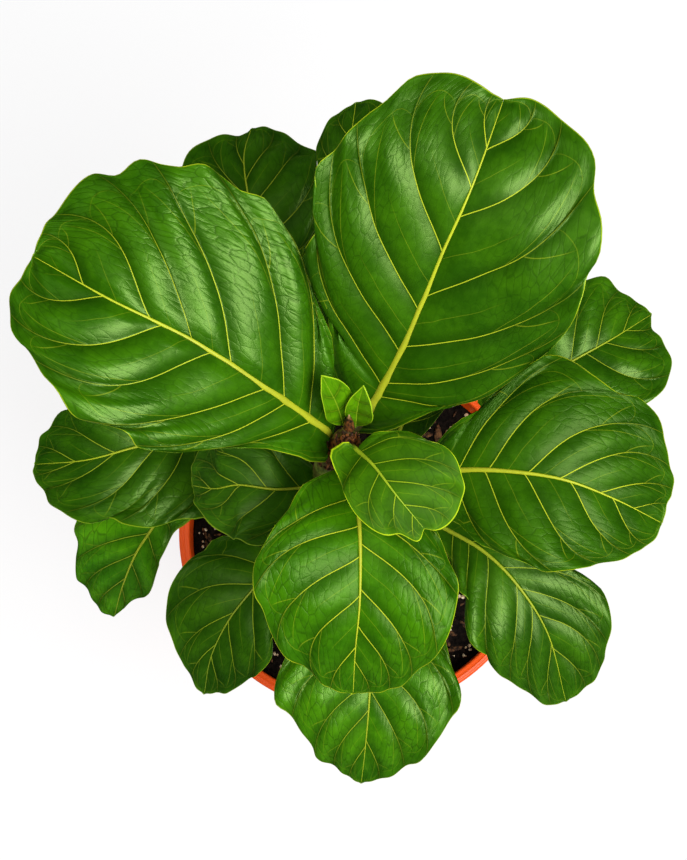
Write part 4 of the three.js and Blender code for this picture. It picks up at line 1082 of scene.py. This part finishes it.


def upper_face(name, deep, fresh, vein_colour, edge_colour, rough, vein_show=0.95, shine=0.66):
    """Glossy and green, its green scaled leaf by leaf partly as painted light, with painted shade beside
    the veins and in the net's grooves, and a pale line on the edge.
    """
    material, wire = new_material(name)
    mask = vein_masks(wire)
    painted_shade_colour = rgb(*(PAINTED_SHADE_DARKNESS * c for c in deep[:3]))
    tone_and_painted_light, _, matte = attribute(wire, "tone_and_painted_light")
    cloud = wire.noise(38.0, 4.0)
    mottle = wire.noise(260.0, 3.0)
    blade = (cloud * 0.7 + mottle * 0.3).rise(0.3, 0.72).tint(deep, fresh)
    # Painted light, in part: each leaf's green is scaled leaf by leaf, which besides its own colour makes
    # leaves that get little light lighter and some well lit ones darker.
    blade = wire.add("VectorMath", {"operation": "SCALE"}, {0: blade, "Scale": tone_and_painted_light})
    # Painted shade beside each side vein and along the valley next to it, where the sunk vein lies in
    # shade.
    width, dark = PAINTED_VEIN_SHADE
    shade = mask["from_vein"].fall(mask["half"], mask["half"] + width) * dark
    full, gone, dark = PAINTED_VALLEY_SHADE
    shade = shade + mask["from_vein"].fall(full, gone) * dark
    blade = shade.tint(blade, painted_shade_colour)
    # Painted shade: the lines of the fine net are darkened like shaded grooves.
    lines = mask["net"].fall(0.02, 0.07) * 0.42 + mask["cells"].fall(0.0, 0.12) * 0.12
    blade = (lines * mask["outer"]).tint(blade, painted_shade_colour)
    blade = (mask["branch"] * 0.26).tint(blade, vein_colour)
    blade = (mask["loop"] * 0.38 * vein_show).tint(blade, vein_colour)
    blade = (mask["side"] * vein_show).tint(blade, vein_colour)
    blade = (mask["edge"].fall(0.5, 4.0) * 0.35).tint(blade, fresh)
    colour = mask["edge"].fall(0.2, 0.55).tint(blade, edge_colour)
    relief = mask["net"].rise(0.0, 0.10) * 0.16 + mask["net"].rise(0.0, 0.45) * 0.24
    relief = relief + mask["cells"].rise(0.0, 0.2) * 0.07
    relief = relief * mask["rumple"] * mask["outer"]
    relief = relief * (1 - mask["side"]) + wire.noise(130.0, 2.0) * 0.42
    roughness = rough + matte + mottle * 0.08 + mask["side"] * 0.1
    sockets = {"Base Color": colour, "Roughness": roughness, "IOR": LEAF_IOR, "Specular IOR Level": shine,
               "Specular Tint": LEAF_SHEEN}
    finish_material(wire, sockets, relief, LEAF_RELIEF)
    return material


def lower_face(name, deep, fresh, vein_colour):
    """Dull and paler, with the whole net of veins raised."""
    material, wire = new_material(name)
    mask = vein_masks(wire)
    cloud = wire.noise(60.0, 4.0)
    blade = cloud.rise(0.3, 0.7).tint(deep, fresh)
    lines = mask["net"].fall(0.0, 0.08) * 0.5 + mask["cells"].fall(0.0, 0.1) * 0.2
    blade = lines.tint(blade, vein_colour)
    blade = (mask["loop"] * 0.8).tint(blade, vein_colour)
    colour = mask["side"].tint(blade, vein_colour)
    relief = mask["net"].fall(0.0, 0.15) * 0.4 + mask["loop"] * 0.4 + mask["cells"].fall(0.0, 0.2) * 0.2
    sockets = {"Base Color": colour, "Roughness": 0.62, "IOR": LEAF_IOR, "Specular IOR Level": 0.35}
    finish_material(wire, sockets, relief, 0.35)
    return material


STALK_FOOT = rgb(0.045, 0.030, 0.008)  # where the petiole leaves the stem


def stalk_face(name, root, base, tip):
    """The petiole and the midrib, brown at the stem and yellowest at the blade's base."""
    material, wire = new_material(name)
    stage = attribute(wire, "vein")[0]
    grain = wire.noise(300.0, 4.0)
    colour = stage.rise(0.55, 1.03).tint(root, base)
    colour = stage.fall(0.3, 1.0).tint(colour, STALK_FOOT)
    colour = stage.rise(1.2, 1.9).tint(colour, tip)
    colour = (grain.rise(0.35, 0.8) * 0.22).tint(colour, root)
    roughness = 0.40 + grain * 0.15
    sockets = {"Base Color": colour, "Roughness": roughness, "IOR": LEAF_IOR, "Specular IOR Level": 0.4}
    finish_material(wire, sockets, grain, 0.12)
    return material


# Colours. upper: deep and fresh green; lower: deep green, fresh green and veins; stalk: the petiole's foot,
# the midrib's base and its tip.
LARGE = dict(
    upper=(rgb(0.015, 0.077, 0.00026), rgb(0.040, 0.15, 0.00052)),
    vein=rgb(0.43, 0.50, 0.017),
    edge=rgb(0.30, 0.40, 0.0087),
    lower=(rgb(0.10, 0.20, 0.035), rgb(0.15, 0.27, 0.06), rgb(0.30, 0.40, 0.10)),
    stalk=(rgb(0.11, 0.15, 0.0087), rgb(0.38, 0.41, 0.014), rgb(0.45, 0.52, 0.017)),
)
DARK = dict(
    upper=(rgb(0.012, 0.064, 0.00026), rgb(0.037, 0.13, 0.00052)),
    vein=rgb(0.31, 0.40, 0.013),
    edge=rgb(0.21, 0.33, 0.0070),
    lower=(rgb(0.08, 0.17, 0.03), rgb(0.13, 0.24, 0.05), rgb(0.27, 0.36, 0.09)),
    stalk=(rgb(0.087, 0.13, 0.0070), rgb(0.37, 0.43, 0.017), rgb(0.33, 0.42, 0.013)),
)
DARK_DULL = {**DARK, "stalk": (rgb(0.087, 0.13, 0.0070), rgb(0.20, 0.26, 0.010), rgb(0.20, 0.28, 0.010))}
YOUNG = dict(
    upper=(rgb(0.023, 0.097, 0.00026), rgb(0.061, 0.19, 0.00070)),
    vein=rgb(0.33, 0.45, 0.010),
    edge=rgb(0.40, 0.54, 0.0087),
    lower=(rgb(0.13, 0.26, 0.04), rgb(0.19, 0.34, 0.06), rgb(0.34, 0.46, 0.10)),
    stalk=(rgb(0.087, 0.11, 0.0070), rgb(0.30, 0.40, 0.013), rgb(0.26, 0.40, 0.013)),
)
TIP = dict(
    upper=(rgb(0.037, 0.13, 0.00044), rgb(0.10, 0.26, 0.0013)),
    vein=rgb(0.30, 0.45, 0.0087),
    edge=rgb(0.34, 0.52, 0.013),
    lower=(rgb(0.16, 0.32, 0.04), rgb(0.24, 0.42, 0.06), rgb(0.38, 0.52, 0.10)),
    stalk=(rgb(0.23, 0.31, 0.017), rgb(0.24, 0.40, 0.010), rgb(0.24, 0.40, 0.010)),
)


def leaf_finish(name, colours, **looks):
    """The three materials of a leaf. looks: how rough it is, how much its veins show, and its shine."""
    upper = upper_face(name + "_upper", *colours["upper"], colours["vein"], colours["edge"], **looks)
    lower = lower_face(name + "_lower", *colours["lower"])
    return [upper, lower, stalk_face(name + "_stalk", *colours["stalk"])]


FINISHES = {
    "leaf_large": leaf_finish("large", LARGE, rough=0.27),
    "leaf_large_dull": leaf_finish("large_dull", LARGE, rough=0.27, shine=0.34),
    "leaf_dark": leaf_finish("dark", DARK, rough=0.31, vein_show=0.8),
    "leaf_dark_dull": leaf_finish("dark_dull", DARK_DULL, rough=0.31, vein_show=0.6, shine=0.30),
    "leaf_young": leaf_finish("young", YOUNG, rough=0.50, vein_show=0.7, shine=0.36),
    "leaf_tip": leaf_finish("tip", TIP, rough=0.34, vein_show=0.35),
}


def grow(leaf, petiole=True):
    """A whole leaf as one piece, in the place of its CAD node."""
    blade = Blade(leaf)
    shell = Shell()
    petiole_and_midrib(leaf, blade, shell, petiole)
    HalfBlade(leaf, blade, 1).add_to(shell)
    HalfBlade(leaf, blade, -1).add_to(shell)
    piece = shell.build(leaf["name"] + "_blade", FINISHES[leaf["finish"]])
    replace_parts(piece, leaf["name"])


for leaf in LEAVES:
    grow({**USUAL, **leaf})


# ---- The growing tip ---------------------------------------------------------------------------------
# What the stem's top grows next: two half-folded young leaves that stand straight on it, the brown pointed
# scales round the bud, and thin papery sheaths, which dry up and stay on for a while.
TIP_USUAL = dict(
    joint=0, stalk=0.8, midrib=(0.45, 1.2), cup=0, wave=0.3, waves=2, bulge=0.4, ear=0, rumple=(0.3, 0.3),
    flat=6, tone_and_painted_light=1.75, matte=0.0, finish="leaf_tip",
    left_veins=[(5, 0.3, 0.1), (14, 0.55, 0.12), (24, 0.78, 0.12)],
    right_veins=[(5, 0.3, 0.1), (14, 0.55, 0.12), (24, 0.78, 0.12)],
)
TIP_LEAVES = [
    dict(
        name="tip_leaf_left", fold=0.35,
        rib=[(-9.5, 13, 516), (-13, 20.5, 534), (-19.5, 30, 553)],
        left=[(6, 4), (14, 7), (27, 6), (36, 3)],
        right=[(9, 2), (15, 5), (24, 8), (34, 6)],
    ),
    dict(
        name="tip_leaf_right", fold=0.5,
        rib=[(-4, 12, 516), (-3, 18.5, 533), (-0.5, 26, 549)],
        left=[(6, 2.5), (14, 5), (24, 4.5), (31, 2)],
        right=[(4, 2), (10, 6), (18, 8), (26, 7), (32, 3.5)],
    ),
]
SCALES = [
    dict(name="terminal_bud", foot=(-7, 10, 515), top=(-7, 14.5, 536), radius=2.7),
    dict(name="bud_scale_left", foot=(-13, 1.5, 509), top=(-12.8, 7.2, 526), radius=1.9),
    dict(name="bud_scale_right", foot=(-3.5, 3.5, 508), top=(-2.4, 6.2, 524), radius=2.1),
]
SCALE_STEPS = 24
SCALE_SIDES = 18
SCALE_SWELL = ([0, 0.25, 0.5, 0.75, 1], [0.75, 1, 0.85, 0.5, 0.08])  # shares of its length and radius
SCALE_COLOURS = rgb(0.016, 0.004, 0.0015), rgb(0.20, 0.062, 0.008)
BUD_POINT = rgb(0.50, 0.33, 0.12)
POINT_HEIGHTS = (533, 539)  # over these it turns straw-coloured


def dry_scale():
    """Brown and streaked lengthwise, with a straw-coloured point on the bud."""
    material, wire = new_material("dry_scale")
    squeeze = wire.add("VectorMath", {"operation": "MULTIPLY"}, {0: wire.place(), 1: (1.0, 1.0, 0.2)})
    streak = wire.noise(900.0, 4.0, squeeze)
    colour = streak.rise(0.38, 0.68).tint(*SCALE_COLOURS)
    colour = (wire.height() + streak * 3).rise(*POINT_HEIGHTS).tint(colour, BUD_POINT)
    sockets = {"Base Color": colour, "Roughness": 0.55 + streak * 0.2, "Specular IOR Level": 0.4}
    finish_material(wire, sockets, streak, 0.3)
    return material


def grow_scale(scale, material):
    """A pointed sheath, swollen low down and drawn out to a tip."""
    share = np.linspace(0, 1, SCALE_STEPS)
    foot, top = np.array(scale["foot"], float), np.array(scale["top"], float)
    line = foot + (top - foot) * share[:, None]
    radius = scale["radius"] * np.interp(share, *SCALE_SWELL)
    across = np.array([1.0, 0, 0]) + 0 * line
    rings = tube_rings(line, across, radius, radius * 0.95, radius * 0.95, SCALE_SIDES)
    shell = Shell()
    shell.skin(rings, [line[0], line[-1]])
    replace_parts(shell.build(scale["name"] + "_sheath", [material]), scale["name"])


# Papery sheaths round the stem's top: height, way that it faces in degrees, length, half width, and how far
# its point leans away from the stem.
SHEATHS = [
    (492, 205, 14, 2.2, 2.2), (493, 285, 13, 2.2, 2.0), (494, 245, 14, 2.2, 2.2), (495, 330, 13, 2.2, 2.4),
    (499, 225, 14, 2.0, 2.0), (500, 265, 13, 2.2, 1.6), (501, 305, 13, 1.9, 2.0), (502, 350, 13, 2.0, 2.4),
    (503, 190, 12, 1.8, 1.6), (506, 240, 12, 2.0, 0.6), (507, 285, 12, 1.9, 0.6), (508, 325, 12, 1.8, 1.0),
    (509, 210, 12, 1.8, 0.4), (512, 262, 11, 2.2, -1.6), (512, 225, 11, 2.0, -1.4),
    (511, 302, 11, 2.2, -1.2),
    (511, 340, 11, 2.0, -0.6), (515, 245, 9, 1.7, -2.4), (515, 285, 9, 1.7, -2.4), (515, 320, 9, 1.6, -2.0),
]
SHEATH_STEPS = 18
SHEATH_SIDES = 16
SHEATH_GAP = 0.3  # between the stem and a sheath's foot
SHEATH_HALF = 0.35  # half its thickness
SPIKE = 40  # so many of the stem's last rings give the way that the sheaths point


def grow_sheaths(material):
    """Thin papery sheaths round the top of the stem, pressed to it at the foot and free at the point."""
    shell = Shell()
    share = np.linspace(0, 1, SHEATH_STEPS)[:, None]
    rise = (stem_line[-1] - stem_line[-SPIKE]) / np.ptp(stem_line[-SPIKE:, 2])
    for height, facing, long, half, lean in SHEATHS:
        turn = math.radians(facing)
        outward = np.array([math.cos(turn), math.sin(turn), 0.0])
        spine = stem_point(height) + rise * long * share
        radius = SHEATH_GAP + np.interp(height, stem_line[:, 2], stem_radius) + 0 * share
        line = spine + outward * (radius + lean * share ** 2)
        across = np.cross(UP, outward)
        wide = half * np.sin(np.pi * (0.28 + 0.70 * share[:, 0])) ** 0.7 + 0.05
        thin = SHEATH_HALF + 0 * share[:, 0]
        rings = tube_rings(line, across + 0 * line, wide, thin, thin, SHEATH_SIDES)
        hug = ((rings - line[:, None]) @ across) ** 2 / (2 * radius)
        shell.skin(rings - outward * hug[..., None], [line[0], line[-1]])
    shell.build("tip_sheaths", [material])


for leaf in TIP_LEAVES:
    grow({**TIP_USUAL, **leaf}, petiole=False)
scale_material = dry_scale()
grow_sheaths(scale_material)
for scale in SCALES:
    grow_scale(scale, scale_material)
